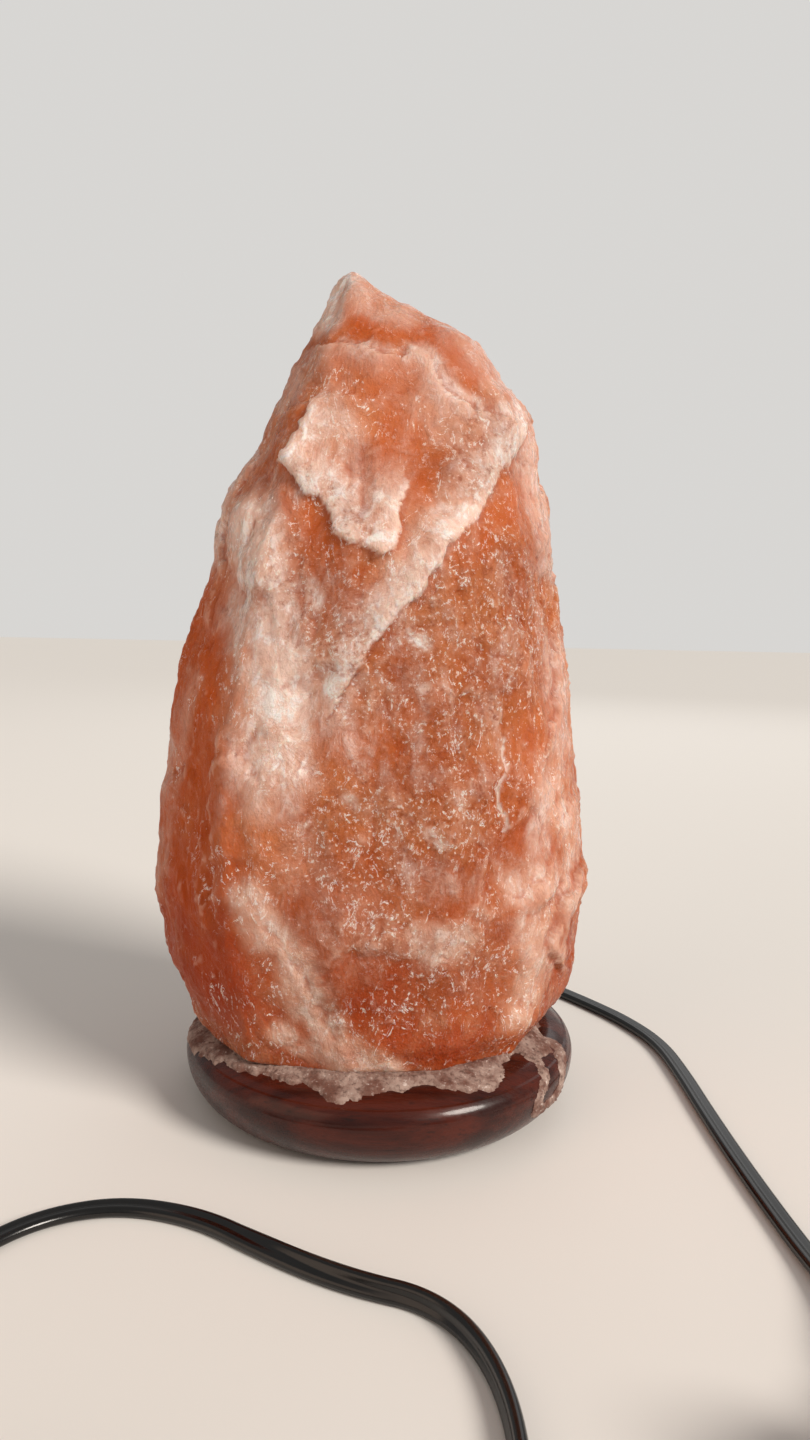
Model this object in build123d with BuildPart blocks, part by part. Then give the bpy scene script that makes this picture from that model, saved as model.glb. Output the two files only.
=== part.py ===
from build123d import *
import os
from math import acos, atan2, cos, hypot, radians, sin, sqrt, tan

# Salt crystal lamp: a hewn lump of rock salt on a turned wooden base, lit from inside by a
# small bulb on a spring-clip lampholder, with a flat twin cord, an inline rotary dimmer and
# a two-blade plug. Millimetres, +Z up. The origin is on the standing plane under the centre
# of the base. The front is -Y, and the cord leaves the base at the back, towards +Y.

# ---- clearances ----
seat_gap = 0.3          # between pieces that are fitted by hand and may move apart
close_gap = 0.1         # between pieces that slide or plug into each other

# ---- wooden base ----
foot_height = 3
foot_radius = 8
foot_offset = 50        # from the axis to each foot's centre
foot_taper = 8          # degrees
base_height = 22
base_radius = 70        # widest, at the belly of the edge
underside_radius = 63.5
belly_height = 13.5     # above the underside
shoulder_radius = 67.8
shoulder_height = 18.4
shoulder_step = 0.8     # crisp step at the shoulder: inwards, then up
shoulder_rise = 0.3
top_flat_radius = 57
base_bore_radius = 21
bore_bevel = 1
groove_width = 10
groove_depth = 7

# ---- adhesive ring and crystal ----
bond_thickness = 1
bond_radius = 47
crystal_bore_radius = 25
crystal_bore_depth = 114
bore_end_round = 6

# The crystal's rows: height above its foot, then how far it reaches left, right, front, back.
crystal_rows = [
    (0, -67, 60, -55, 52),
    (10, -71.5, 69, -59, 57),
    (26, -78.5, 70.5, -61, 60),
    (48, -80.5, 74, -63, 62),
    (74, -79.5, 71.5, -63, 62),
    (102, -78.5, 67, -61, 60),
    (130, -72, 62, -57, 57),
    (158, -62.5, 59, -51, 52),
    (180, -57.5, 55.5, -45, 46),
    (200, -48.5, 51, -39, 38),
    (218, -37, 45.5, -31, 29),
    (234, -31.5, 30, -22, 20),
    (247, -28, 10, -14, 12),
    (260, -23, -14.5, -5, 4),
]
# Corners of its cross-section, as shares of the half width and half depth, from the left
# round by the front.
crystal_corners = [
    (-1, -0.12), (-0.86, -0.5), (-0.6, -0.84), (-0.12, -1), (0.36, -0.94), (0.76, -0.66),
    (1, -0.08), (1.1, 0.7), (0.66, 0.9), (0.04, 1), (-0.5, 0.88), (-0.88, 0.46),
]
hewn_depth = 0.035      # how unevenly the corners stand from row to row, as a share
# Plates left standing proud of the front: an outline seen from the front, as distances from
# the middle and heights above the foot, then a point on the plate's face and the way it faces.
front_plates = [
    ([(-12, 120), (5, 144), (21, 169), (9, 182), (-2, 168), (-13, 152), (-20, 136)],
     (-3.5, -50.7, 149.5), (-0.127, -0.927, 0.353)),
    ([(21, 169), (33, 186), (44, 207), (35, 210), (22, 197), (9, 182)],
     (21.8, -35.7, 184.4), (0.091, -0.847, 0.524)),
    ([(-34, 194), (-23, 182), (-15, 170), (-9, 164), (3, 163), (5, 180), (-6, 198), (-18, 210),
      (-27, 206)],
     (-12.1, -40.8, 182.9), (0.013, -0.912, 0.409)),
]
# Cleavage planes that split flakes off the lump: a point on each, and the way it faces.
cleavage_planes = [
    ((46, -12, 236), (0.74, -0.25, 0.62)),
    ((-45, -16, 216), (-0.8, -0.4, 0.44)),
    ((2, -47, 186), (0.08, -0.95, 0.31)),
    ((50, -43, 62), (0.62, -0.78, -0.08)),
    ((-66, -30, 92), (-0.8, -0.6, 0.04)),
    ((30, 50, 96), (0.42, 0.9, 0.1)),
    ((-34, 38, 190), (-0.5, 0.78, 0.36)),
]

# ---- lampholder ----
holder_bottom = 18
holder_radius = 12.5
holder_wall = 2
holder_cap_height = 10
holder_shell_height = 26
holder_mouth_radius = 7.6
carrier_thickness = 4
carrier_inset = 2       # carrier above the parting line of cap and shell
screw_shell_wall = 0.45
screw_shell_height = 17
terminal_offset = 6
terminal_shank_radius = 1.25
terminal_head_radius = 2.4
terminal_head_height = 1.4
holder_bevel = 1.2
contact_strip = 0.5     # thickness of the centre contact's sprung strip
contact_half_width = 1.5
# The strip's run: from the axis, and above the carrier; its crown bears on the bulb.
contact_foot = (-4, 0.3)
contact_heel = (-1.5, 0.3)
contact_toe = (2.5, 0.9)
contact_room = 2.2      # from the carrier to the bulb's own contact
clip_thickness = 0.6
clip_width = 8
clip_band_height = 6
clip_legs = 3
clip_touch_height = 20  # where the bowed legs press on the base's bore
clip_toe_drop = 7       # the legs' tips below there, and how far in they bow
clip_toe_bow = 3
grip_radius = 5.2
grip_height = 6
grip_flange = 1.5       # thickness of the grommet's rim, and how far it overlaps the cap
grip_overlap = 1

# ---- bulb ----
bulb_cap_radius = 5.95
bulb_cap_height = 15.5
bulb_cap_wall = 0.4
bulb_neck_radius = 6.9
bulb_radius = 13
bulb_glass_height = 40
bulb_glass_wall = 0.8
stem_radius = 2.6
stem_height = 13
stem_seat = 2           # of its foot below the top of the cap
stem_flare = 3          # height of its flared foot above the cap
stem_taper = 0.8
filament_radius = 0.45
filament_span = 10
filament_arch = 1.5
filament_lead = 1       # the two leads' distance from the axis, and their straight stubs
bulb_neck_height = 4
bulb_contact_radius = 2.2
bulb_contact_height = 0.8
bulb_contact_bevel = 0.4
insulator_radius = 3
insulator_height = 1.8
insulator_inset = 0.8   # within the rim of the cap

# ---- flat twin cord ----
cord_width = 6.4
cord_thickness = 3.2
cord_corner = 1
cord_lift = 0.2         # the free cord's underside above the standing plane
groove_cord_height = 5  # centre of the cord in the base's groove
inner_bend_radius = 9
inner_cord_top = 2      # its end below the holder's parting line
boot_run = 13           # how far the cord runs straight out of a boot
plug_run = 14           # and into the plug

# ---- inline rotary dimmer ----
dimmer_place = (108, -203)
dimmer_heading = 258    # degrees, the way the cord runs through it
dimmer_length = 62
dimmer_width = 30
lower_case_height = 8
upper_case_height = 12
case_wall = 2
case_round = 3
boot_length = 14
boot_root = (12, 9)
boot_tip = (8.4, 5.2)
boot_bevel = 2.4        # at the corners of its root; the tip's are as much smaller
boot_tip_bevel = 1.4
wheel_radius = 12
wheel_height = 6
wheel_gap = 0.5
wheel_ribs = 24
rib_radius = 0.9
shaft_radius = 3
control_offset = -8     # wheel and potentiometer, along the case
board_length = 40
board_width = 22
board_thickness = 1.6
board_height = 6
potentiometer_radius = 8
potentiometer_height = 5
case_screw_offset = 24
case_screw_radius = 1.25
case_screw_length = 12
case_screw_hole = 6     # its depth in the upper half
screw_head_radius = 2.5
screw_head_height = 1.3
screw_head_recess = 1.6
case_boss_radius = 3
rail_spacing = 24       # of the two rails that carry the board
rail_thickness = 2
shaft_seat = 2          # the shaft's end above the board
shaft_grip = 4          # its reach into the wheel
wheel_dish_radius = 9
wheel_dish_depth = 0.8
pointer_radius = 0.9
pointer_offset = 5.5
triac_place = (11, -5)  # on the board: along the case, and across it
triac_tab = (15, 9, 1.3)
triac_case = (10, 9, 3.2)
triac_hole_radius = 1.8
triac_hole_offset = 5
capacitor_place = (10, 6)
capacitor_size = (13, 6, 9)
capacitor_round = 0.8

# ---- plug ----
plug_place = (-71.6, -279)
plug_heading = 330
plug_length = 27
plug_width = 25
plug_thickness = 13
# Its outline from the cord to the face: share of the length, width and thickness there.
plug_outline = [
    (0, 10, 7), (0.3, 12.4, 8.4), (0.48, 17.5, 10.4), (0.6, 22.5, 12.2),
    (0.72, plug_width, plug_thickness), (1, plug_width, plug_thickness),
]
plug_bevel_share = 0.3  # of its thickness, at its long corners
blade_length = 17
blade_thickness = 1.5
blade_spacing = 12.7
narrow_blade_width = 6.35
wide_blade_width = 7.95
blade_hole_radius = 1.5
blade_hole_inset = 4.5
blade_bevel = 0.45

# ---- coil of put-away cord ----
coil_centre = (-78.8, -222)
coil_mean_radius = 32
coil_step = 3.7         # between turns lying side by side
coil_layer = 7.1        # between the two layers
coil_quarters = 7       # quarter turns in each layer
coil_draw = 2.2         # how much further the spiral draws in before it climbs
coil_run = 17           # how far the cord runs straight out of the coil
twist_start = 57        # before the coil: the cord's quarter twist on to its edge
twist_length = 28
twist_steps = 6

# ---- heights worked out from the sizes above ----
base_top = foot_height + base_height
crystal_foot = base_top + bond_thickness
parting = holder_bottom + holder_cap_height
holder_top = parting + holder_shell_height
carrier_bottom = parting + carrier_inset
carrier_top = carrier_bottom + carrier_thickness
carrier_radius = holder_radius - holder_wall - close_gap
screw_shell_radius = bulb_cap_radius + close_gap
bulb_bottom = carrier_top + contact_room
cap_bottom = bulb_bottom + bulb_contact_height + insulator_height
cap_top = cap_bottom + bulb_cap_height
bulb_top = cap_top + bulb_glass_height
lying = cord_thickness / 2 + cord_lift      # centre of cord that lies flat
standing = cord_width / 2 + cord_lift       # centre of cord that stands on its edge
case_top = lower_case_height + upper_case_height
cord_entry = lower_case_height
plug_centre = plug_thickness / 2
board_top = board_height + board_thickness

dimmer_way = Vector(cos(radians(dimmer_heading)), sin(radians(dimmer_heading)), 0)
dimmer_centre = Vector(*dimmer_place, 0)
boot_reach = dimmer_length / 2 + boot_length
dimmer_inlet = dimmer_centre - dimmer_way * boot_reach + Vector(0, 0, cord_entry)
dimmer_outlet = dimmer_centre + dimmer_way * boot_reach + Vector(0, 0, cord_entry)
dimmer_plane = Plane(origin=dimmer_centre, x_dir=dimmer_way, z_dir=(0, 0, 1))
plug_way = Vector(cos(radians(plug_heading)), sin(radians(plug_heading)), 0)
plug_rear = Vector(*plug_place, plug_centre)

os.makedirs("parts", exist_ok=True)


def save(name, maker):
    """Label a finished piece and write it under its node's name."""
    maker.part.label = name
    export_step(maker.part, f"parts/{name}.step")


# ---- wooden base ----
def edge_point(radius, height):
    return (radius, foot_height + height)


with BuildPart() as wood_base:
    with BuildSketch(Plane.XZ):
        with BuildLine():
            belly = edge_point(base_radius, belly_height)
            shoulder = edge_point(shoulder_radius, shoulder_height)
            inside_shoulder = edge_point(shoulder_radius - shoulder_step, shoulder_height + shoulder_rise)
            top_edge = edge_point(top_flat_radius, base_height)
            underside_edge = edge_point(underside_radius, 0)
            TangentArc(belly, underside_edge, tangent=(0, -1))
            TangentArc(belly, shoulder, tangent=(0, 1))
            Line(shoulder, inside_shoulder)
            TangentArc(top_edge, inside_shoulder, tangent=(1, 0))
            Polyline(
                top_edge,
                edge_point(base_bore_radius + bore_bevel, base_height),
                edge_point(base_bore_radius, base_height - bore_bevel),
                edge_point(base_bore_radius, bore_bevel),
                edge_point(base_bore_radius + bore_bevel, 0),
                underside_edge,
            )
        make_face()
    revolve(axis=Axis.Z)
    with BuildSketch(Plane.XY.offset(foot_height)):
        with Locations((0, base_radius / 2 + 1)):
            Rectangle(groove_width, base_radius + 2)
    extrude(amount=groove_depth, mode=Mode.SUBTRACT)
save("wood_base", wood_base)

with BuildPart() as rubber_feet:
    with BuildSketch(Plane.XY.offset(foot_height)):
        with PolarLocations(foot_offset, 4, start_angle=45):
            Circle(foot_radius)
    extrude(amount=-foot_height, taper=foot_taper)
save("rubber_feet", rubber_feet)

# ---- adhesive ring ----
with BuildPart() as bond_ring:
    with BuildSketch(Plane.XY.offset(base_top)):
        Circle(bond_radius)
        Circle(crystal_bore_radius, mode=Mode.SUBTRACT)
    extrude(amount=bond_thickness)
save("bond_ring", bond_ring)


# ---- salt crystal ----
def crystal_outline(row, left, right, front, back):
    """Corners of one cross-section, hewn a little in and out from row to row."""
    middle = ((left + right) / 2, (front + back) / 2)
    half = ((right - left) / 2, (back - front) / 2)
    points = []
    for corner, (across, along) in enumerate(crystal_corners):
        hewn = 1 - hewn_depth * (1 + sin(2.4 * corner + 1.7 * row)) / 2
        points.append((middle[0] + half[0] * across * hewn, middle[1] + half[1] * along * hewn))
    return points


def crystal_facets():
    """Flat three-cornered facets between the rows, closed by a flat foot and a flat tip."""
    rings = [
        [Vector(x, y, crystal_foot + height) for x, y in crystal_outline(row, *reach)]
        for row, (height, *reach) in enumerate(crystal_rows)
    ]
    facets = [Face(Wire.make_polygon(rings[0])), Face(Wire.make_polygon(rings[-1]))]
    for row, (lower, upper) in enumerate(zip(rings, rings[1:])):
        for corner in range(len(crystal_corners)):
            before, here = lower[corner - 1], lower[corner]
            above_before, above = upper[corner - 1], upper[corner]
            if (row + corner) % 2:
                halves = (before, here, above), (before, above, above_before)
            else:
                halves = (before, here, above_before), (here, above, above_before)
            facets += [Face(Wire.make_polygon(half)) for half in halves]
    return facets


with BuildPart() as salt_crystal:
    add(Solid(Shell(crystal_facets())))
    for origin, facing in cleavage_planes:
        split(bisect_by=Plane(origin=origin, z_dir=facing), keep=Keep.BOTTOM)
    for outline, face_point, facing in front_plates:
        with BuildPart(mode=Mode.PRIVATE) as plate:
            with BuildSketch(Plane.XZ.offset(crystal_bore_radius)):
                Polygon(*((across, crystal_foot + height) for across, height in outline), align=None)
            extrude(amount=2 * crystal_bore_radius)
            on_face = (face_point[0], face_point[1], crystal_foot + face_point[2])
            split(bisect_by=Plane(origin=on_face, z_dir=facing), keep=Keep.BOTTOM)
        add(plate.part)
    with BuildSketch(Plane.XY.offset(crystal_foot)):
        Circle(crystal_bore_radius)
    extrude(amount=crystal_bore_depth, mode=Mode.SUBTRACT)
    bore_circles = salt_crystal.edges().filter_by(GeomType.CIRCLE).sort_by(Axis.Z)
    fillet(bore_circles[-1], radius=bore_end_round)
save("salt_crystal", salt_crystal)

# ---- lampholder ----
with BuildPart() as holder_cap:
    with BuildSketch(Plane.XY.offset(holder_bottom)):
        Circle(holder_radius)
    extrude(amount=holder_cap_height)
    with BuildSketch(Plane.XY.offset(holder_bottom + holder_wall)):
        Circle(holder_radius - holder_wall)
    extrude(amount=holder_cap_height, mode=Mode.SUBTRACT)
    with BuildSketch(Plane.XY.offset(holder_bottom)):
        Circle(grip_radius)
    extrude(amount=holder_wall, mode=Mode.SUBTRACT)
    lower_rim = holder_cap.edges().filter_by(GeomType.CIRCLE).group_by(Axis.Z)[0]
    chamfer(lower_rim.sort_by(SortBy.RADIUS)[-1], length=holder_bevel)
save("holder_cap", holder_cap)

with BuildPart() as holder_shell:
    with BuildSketch(Plane.XY.offset(parting)):
        Circle(holder_radius)
    extrude(amount=holder_shell_height)
    with BuildSketch(Plane.XY.offset(parting)):
        Circle(holder_radius - holder_wall)
    extrude(amount=holder_shell_height - holder_wall, mode=Mode.SUBTRACT)
    with BuildSketch(Plane.XY.offset(holder_top)):
        Circle(holder_mouth_radius)
    extrude(amount=-holder_wall, mode=Mode.SUBTRACT)
    outer_rim = holder_shell.edges().filter_by(GeomType.CIRCLE).group_by(Axis.Z)[-1]
    chamfer(outer_rim.sort_by(SortBy.RADIUS)[-1], length=holder_bevel)
save("holder_shell", holder_shell)

with BuildPart() as contact_carrier:
    with BuildSketch(Plane.XY.offset(carrier_bottom)):
        Circle(carrier_radius)
        with GridLocations(2 * terminal_offset, 0, 2, 1):
            Circle(terminal_shank_radius + close_gap, mode=Mode.SUBTRACT)
    extrude(amount=carrier_thickness)
save("contact_carrier", contact_carrier)

with BuildPart() as terminal_screws:
    with BuildSketch(Plane.XY.offset(carrier_bottom)):
        with GridLocations(2 * terminal_offset, 0, 2, 1):
            Circle(terminal_head_radius)
    extrude(amount=-terminal_head_height)
    with BuildSketch(Plane.XY.offset(carrier_bottom)):
        with GridLocations(2 * terminal_offset, 0, 2, 1):
            Circle(terminal_shank_radius)
    extrude(amount=carrier_thickness - close_gap)
save("terminal_screws", terminal_screws)

with BuildPart() as screw_shell:
    with BuildSketch(Plane.XY.offset(carrier_top)):
        Circle(screw_shell_radius + screw_shell_wall)
        Circle(screw_shell_radius, mode=Mode.SUBTRACT)
    extrude(amount=screw_shell_height)
save("screw_shell", screw_shell)

with BuildPart() as centre_contact:
    with BuildSketch(Plane.XZ):
        with BuildLine() as tongue:
            crown = (0, bulb_bottom - contact_strip / 2 - close_gap - 0.05)
            foot_end, heel, toe = (
                (across, carrier_top + up) for across, up in (contact_foot, contact_heel, contact_toe))
            Polyline(foot_end, heel, crown, toe)
        trace(line_width=contact_strip)
    extrude(amount=contact_half_width, both=True)
save("centre_contact", centre_contact)

with BuildPart() as cord_grip:
    with BuildSketch(Plane.XY.offset(holder_bottom - grip_flange)):
        Circle(grip_radius + grip_overlap)
    extrude(amount=grip_flange)
    with BuildSketch(Plane.XY.offset(holder_bottom)):
        Circle(grip_radius - close_gap)
    extrude(amount=grip_height - grip_flange)
    with BuildSketch(Plane.XY.offset(holder_bottom - grip_flange)):
        Rectangle(cord_width + 2 * close_gap, cord_thickness + 2 * close_gap)
    extrude(amount=grip_height, mode=Mode.SUBTRACT)
save("cord_grip", cord_grip)

with BuildPart() as spring_clip:
    band_bottom = holder_top - holder_wall - 2 * clip_band_height
    with BuildSketch(Plane.XY.offset(band_bottom)):
        Circle(holder_radius + close_gap + clip_thickness)
        Circle(holder_radius + close_gap, mode=Mode.SUBTRACT)
    extrude(amount=clip_band_height)
    with PolarLocations(0, clip_legs, start_angle=30):
        with BuildSketch(Plane.XZ):
            with BuildLine():
                root = (holder_radius + close_gap + clip_thickness / 2, band_bottom + clip_band_height)
                leg_corner = base_bore_radius - seat_gap
                touch_radius = sqrt(leg_corner ** 2 - (clip_width / 2) ** 2) - clip_thickness / 2
                touch = (touch_radius, clip_touch_height)
                tip = (touch_radius - clip_toe_bow, clip_touch_height - clip_toe_drop)
                TangentArc(touch, root, tangent=(0, 1))
                TangentArc(touch, tip, tangent=(0, -1))
            trace(line_width=clip_thickness)
        extrude(amount=clip_width / 2, both=True)
save("spring_clip", spring_clip)

# ---- bulb ----
with BuildPart() as bulb_contact:
    with BuildSketch(Plane.XY.offset(bulb_bottom)):
        Circle(bulb_contact_radius)
    extrude(amount=bulb_contact_height)
    contact_edge = bulb_contact.edges().filter_by(GeomType.CIRCLE).sort_by(Axis.Z)[0]
    chamfer(contact_edge, length=bulb_contact_bevel)
save("bulb_contact", bulb_contact)

with BuildPart() as bulb_insulator:
    with BuildSketch(Plane.XY.offset(bulb_bottom + bulb_contact_height)):
        Circle(insulator_radius)
    with BuildSketch(Plane.XY.offset(cap_bottom)):
        Circle(bulb_cap_radius - insulator_inset)
    loft()
save("bulb_insulator", bulb_insulator)

with BuildPart() as bulb_cap:
    with BuildSketch(Plane.XY.offset(cap_bottom)):
        Circle(bulb_cap_radius)
    extrude(amount=bulb_cap_height)
    with BuildSketch(Plane.XY.offset(cap_bottom + bulb_cap_wall)):
        Circle(bulb_cap_radius - bulb_cap_wall)
    extrude(amount=bulb_cap_height, mode=Mode.SUBTRACT)
save("bulb_cap", bulb_cap)


def glass_outline(inset):
    """Half outline of the bulb's glass, drawn in by its wall where inset is set."""
    radius = bulb_radius - inset
    centre_height = bulb_top - bulb_radius
    neck = (bulb_neck_radius - inset, cap_top + bulb_neck_height)
    below = centre_height - neck[1]
    meets = acos(radius / hypot(neck[0], below)) - atan2(below, neck[0])
    shoulder = (radius * cos(meets), centre_height + radius * sin(meets))
    crown = (0, bulb_top - inset)
    Polyline((0, cap_top), (neck[0], cap_top), neck, shoulder)
    TangentArc(shoulder, crown, tangent=(shoulder[0] - neck[0], shoulder[1] - neck[1]))
    Line(crown, (0, cap_top))


with BuildPart() as bulb_glass:
    with BuildSketch(Plane.XZ):
        with BuildLine():
            glass_outline(0)
        make_face()
    revolve(axis=Axis.Z)
    with BuildSketch(Plane.XZ):
        with BuildLine():
            glass_outline(bulb_glass_wall)
        make_face()
    revolve(axis=Axis.Z, mode=Mode.SUBTRACT)
save("bulb_glass", bulb_glass)

with BuildPart() as bulb_stem:
    with BuildSketch(Plane.XY.offset(cap_top - stem_seat)):
        Circle(bulb_cap_radius - bulb_cap_wall - close_gap)
    with BuildSketch(Plane.XY.offset(cap_top + stem_flare)):
        Circle(stem_radius)
    with BuildSketch(Plane.XY.offset(cap_top - stem_seat + stem_height)):
        Circle(stem_radius - stem_taper)
    loft(ruled=True)
save("bulb_stem", bulb_stem)

with BuildPart() as bulb_filament:
    filament_height = bulb_top - bulb_radius
    stem_top = cap_top - stem_seat + stem_height
    stub_top = stem_top + filament_lead
    half = filament_span / 2
    with BuildLine(Plane.XZ) as wires:
        Polyline(
            (-filament_lead, stem_top), (-filament_lead, stub_top), (-half, filament_height),
            (0, filament_height + filament_arch),
            (half, filament_height), (filament_lead, stub_top), (filament_lead, stem_top),
        )
    with BuildSketch(Plane(origin=wires.line @ 0, z_dir=wires.line % 0)):
        RegularPolygon(filament_radius, 6)
    sweep(path=wires.line, transition=Transition.RIGHT)
save("bulb_filament", bulb_filament)


# ---- flat twin cord ----
def cord_section(plane, flat):
    """The cord's outline across its run: on its side where flat, else on its edge."""
    size = (cord_width, cord_thickness) if flat else (cord_thickness, cord_width)
    with BuildSketch(plane) as section:
        Rectangle(*size)
        chamfer(section.vertices(), length=cord_corner)
    return section.sketch


def bend_radii(points):
    """The largest arc at each corner that the two runs beside it leave room for."""
    radii = []
    for before, corner, after in zip(points, points[1:], points[2:]):
        first, second = Vector(*corner) - Vector(*before), Vector(*after) - Vector(*corner)
        turn = radians(first.get_angle(second))
        radii.append(0.45 * min(first.length, second.length) / tan(turn / 2))
    return radii


def start_plane(path):
    """Square to the start of a path, with its second axis as upright as it can be."""
    way = path % 0
    return Plane(origin=path @ 0, x_dir=Vector(0, 0, 1).cross(way), z_dir=way)


def cord_along(name, points, flat, going_on=None):
    """Sweep the cord along straight runs joined by the largest arcs that fit."""
    radii = bend_radii(points)
    with BuildPart() as stretch:
        with BuildLine() as route:
            FilletPolyline(*points, radius=radii)
        path = route.wire()
        sweep(sections=cord_section(start_plane(path), flat), path=path)
    area = cord_width * cord_thickness - 2 * cord_corner ** 2
    print(f"{name}: {path.length:.0f} mm long, volume over section times length "
          f"{stretch.part.volume / area / path.length:.3f}, bend radii in mm:",
          " ".join(f"{radius:.0f}" for radius in radii))
    if going_on:
        with stretch:
            add(going_on.part)
    save(name, stretch)
    return path.length


with BuildPart() as cord_inner:
    with BuildLine(Plane.YZ) as inner_route:
        FilletPolyline((0, parting - inner_cord_top), (0, groove_cord_height),
                       (base_radius, groove_cord_height), radius=inner_bend_radius)
    with BuildSketch(Plane.XY.offset(parting - inner_cord_top)) as inner_section:
        Rectangle(cord_width, cord_thickness)
        chamfer(inner_section.vertices(), length=cord_corner)
    sweep(path=inner_route.wire())
save("cord_inner", cord_inner)

# From the back of the base and round its right side to the dimmer.
run_points = [
    (0, base_radius, groove_cord_height), (0, 91, groove_cord_height), (13.5, 110, 2.8),
    (35, 117, lying), (57, 110.5, lying), (75, 88.5, lying), (91, 68, lying), (103, 50, lying),
    (111.5, 29, lying), (113.5, 3, lying), (114, -28, lying), (115.5, -64, lying),
    (118.5, -104, lying), (120.5, -127, 4.6),
    tuple(dimmer_inlet - dimmer_way * boot_run), tuple(dimmer_inlet),
]
run_length = cord_along("cord_run", run_points, flat=True)

# Round in front of the dimmer, back and across the front of the base, and off to the coil.
coil_outer = coil_mean_radius + coil_step * coil_quarters / 8
coil_start = (coil_centre[0] - coil_outer, coil_centre[1])
twist_from = coil_start[1] + twist_start
tail_points = [
    tuple(dimmer_outlet), tuple(dimmer_outlet + dimmer_way * boot_run), (92.8, -274.4, lying),
    (89.1, -292, lying), (70.7, -310.4, lying), (44.7, -310.4, lying), (26.3, -292, lying),
    (25.5, -245, lying), (34, -183, lying),
    (32, -150, lying), (19, -127, lying), (-5, -119.5, lying), (-27, -106.5, lying),
    (-47, -92.5, lying), (-70, -86.5, lying), (-90, -92, lying), (-104, -105.5, lying),
    (-112, -124, lying), (coil_start[0], twist_from + 16, lying), (coil_start[0], twist_from, lying),
]


def half_height(turned):
    """Half the height of the cord's outline, so many degrees round from lying flat."""
    angle = radians(turned)
    wide, thin = cord_width / 2, cord_thickness / 2
    return max(wide * sin(angle) + (thin - cord_corner) * cos(angle),
               (wide - cord_corner) * sin(angle) + thin * cos(angle))


with BuildPart() as quarter_twist:
    for step in range(twist_steps + 1):
        turned = 90 * step / twist_steps
        gone = twist_length * step / twist_steps
        place = (coil_start[0], twist_from - gone, cord_lift + half_height(turned))
        with BuildSketch(Plane(origin=place, x_dir=(1, 0, 0), z_dir=(0, -1, 0))) as outline:
            Rectangle(cord_width, cord_thickness, rotation=turned)
            chamfer(outline.vertices(), length=cord_corner)
    loft(ruled=True)
    on_edge = quarter_twist.faces().sort_by(Axis.Y)[0]
    extrude(on_edge, amount=twist_start - twist_length)
tail_length = cord_along("cord_tail", tail_points, flat=True, going_on=quarter_twist) + twist_start


# ---- coil: in along the lower layer, up in a half turn, and out along the upper one ----
def quarter_arcs(centre, radius, angle, draws, height):
    """Anticlockwise quarter turns, each drawn in by its own amount; returns where it ends."""
    for draw in draws:
        start = centre + Vector(radius * cos(radians(angle)), radius * sin(radians(angle)))
        ending = angle + 90
        finish = centre + Vector(radius * cos(radians(ending)), radius * sin(radians(ending)))
        way = Vector(-sin(radians(angle)), cos(radians(angle)))
        TangentArc((start.X, start.Y, height), (finish.X, finish.Y, height), tangent=(way.X, way.Y, 0))
        radius -= draw
        centre = finish - Vector(radius * cos(radians(ending)), radius * sin(radians(ending)))
        angle = ending
    return centre, radius, angle


with BuildPart() as cord_coil:
    upper_level = standing + coil_layer
    draws = [coil_step / 4] * coil_quarters
    draws[-2] += coil_draw
    with BuildLine() as coil_route:
        centre, radius, angle = quarter_arcs(
            Vector(*coil_centre), coil_outer, 180, draws, standing)
        radial = Vector(cos(radians(angle)), sin(radians(angle)))
        way = Vector(-sin(radians(angle)), cos(radians(angle)))
        bottom = centre + radial * radius + Vector(0, 0, standing)
        top = centre - radial * radius + Vector(0, 0, upper_level)
        climb = top - bottom
        middle = (bottom + top) / 2 + way * (climb.length / 2)
        TangentArc(tuple(bottom), tuple(middle), tangent=tuple(way))
        TangentArc(tuple(middle), tuple(top), tangent=tuple(climb))
        growths = [-draw for draw in [*draws[-2:], *draws[:-2]]]
        quarter_arcs(centre, radius, angle + 180, growths, upper_level)
    coil_path = coil_route.wire()
    sweep(sections=cord_section(start_plane(coil_path), flat=False), path=coil_path)
save("cord_coil", cord_coil)
coil_end = coil_path @ 1
coil_length = coil_path.length


def coil_gap(path):
    """Least gap between turns, on points 2 mm apart: clear sideways, or clear in height."""
    count = int(path.length / 2)
    points = [path @ (step / count) for step in range(count + 1)]
    apart = count // (coil_quarters + 1)
    gaps = []
    for first, start in enumerate(points):
        for other in points[first + apart:]:
            sideways = hypot(other.X - start.X, other.Y - start.Y) - cord_thickness
            gaps.append(max(sideways, abs(other.Z - start.Z) - cord_width))
    return min(gaps)


print(f"cord_coil: {coil_length:.0f} mm long, least gap to itself {coil_gap(coil_path):.2f} mm")

lead_points = [
    tuple(coil_end), tuple(coil_end - Vector(0, coil_run, 0)), (-101, -262, 8.5),
    tuple(plug_rear - plug_way * plug_run), tuple(plug_rear),
]
lead_length = cord_along("cord_lead", lead_points, flat=False)
inner_length = inner_route.wire().length
total = inner_length + run_length + 2 * boot_reach + tail_length + coil_length + lead_length
print(f"cord in all, lampholder to plug: {total:.0f} mm")


# ---- inline rotary dimmer ----
def case_sketch(height, inset):
    """The case's outline at a height, drawn in by inset."""
    with BuildSketch(dimmer_plane.offset(height)) as outline:
        SlotOverall(dimmer_length - 2 * inset, dimmer_width - 2 * inset)
    return outline.sketch


def boot_notches():
    """The two openings at the parting line that the cord boots pass through."""
    with BuildPart(dimmer_plane.offset(cord_entry), mode=Mode.PRIVATE) as notches:
        with GridLocations(dimmer_length - case_wall, 0, 2, 1):
            Box(3 * case_wall, boot_root[0] + 2 * close_gap, boot_root[1] + 2 * close_gap)
    return notches.part


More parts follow.
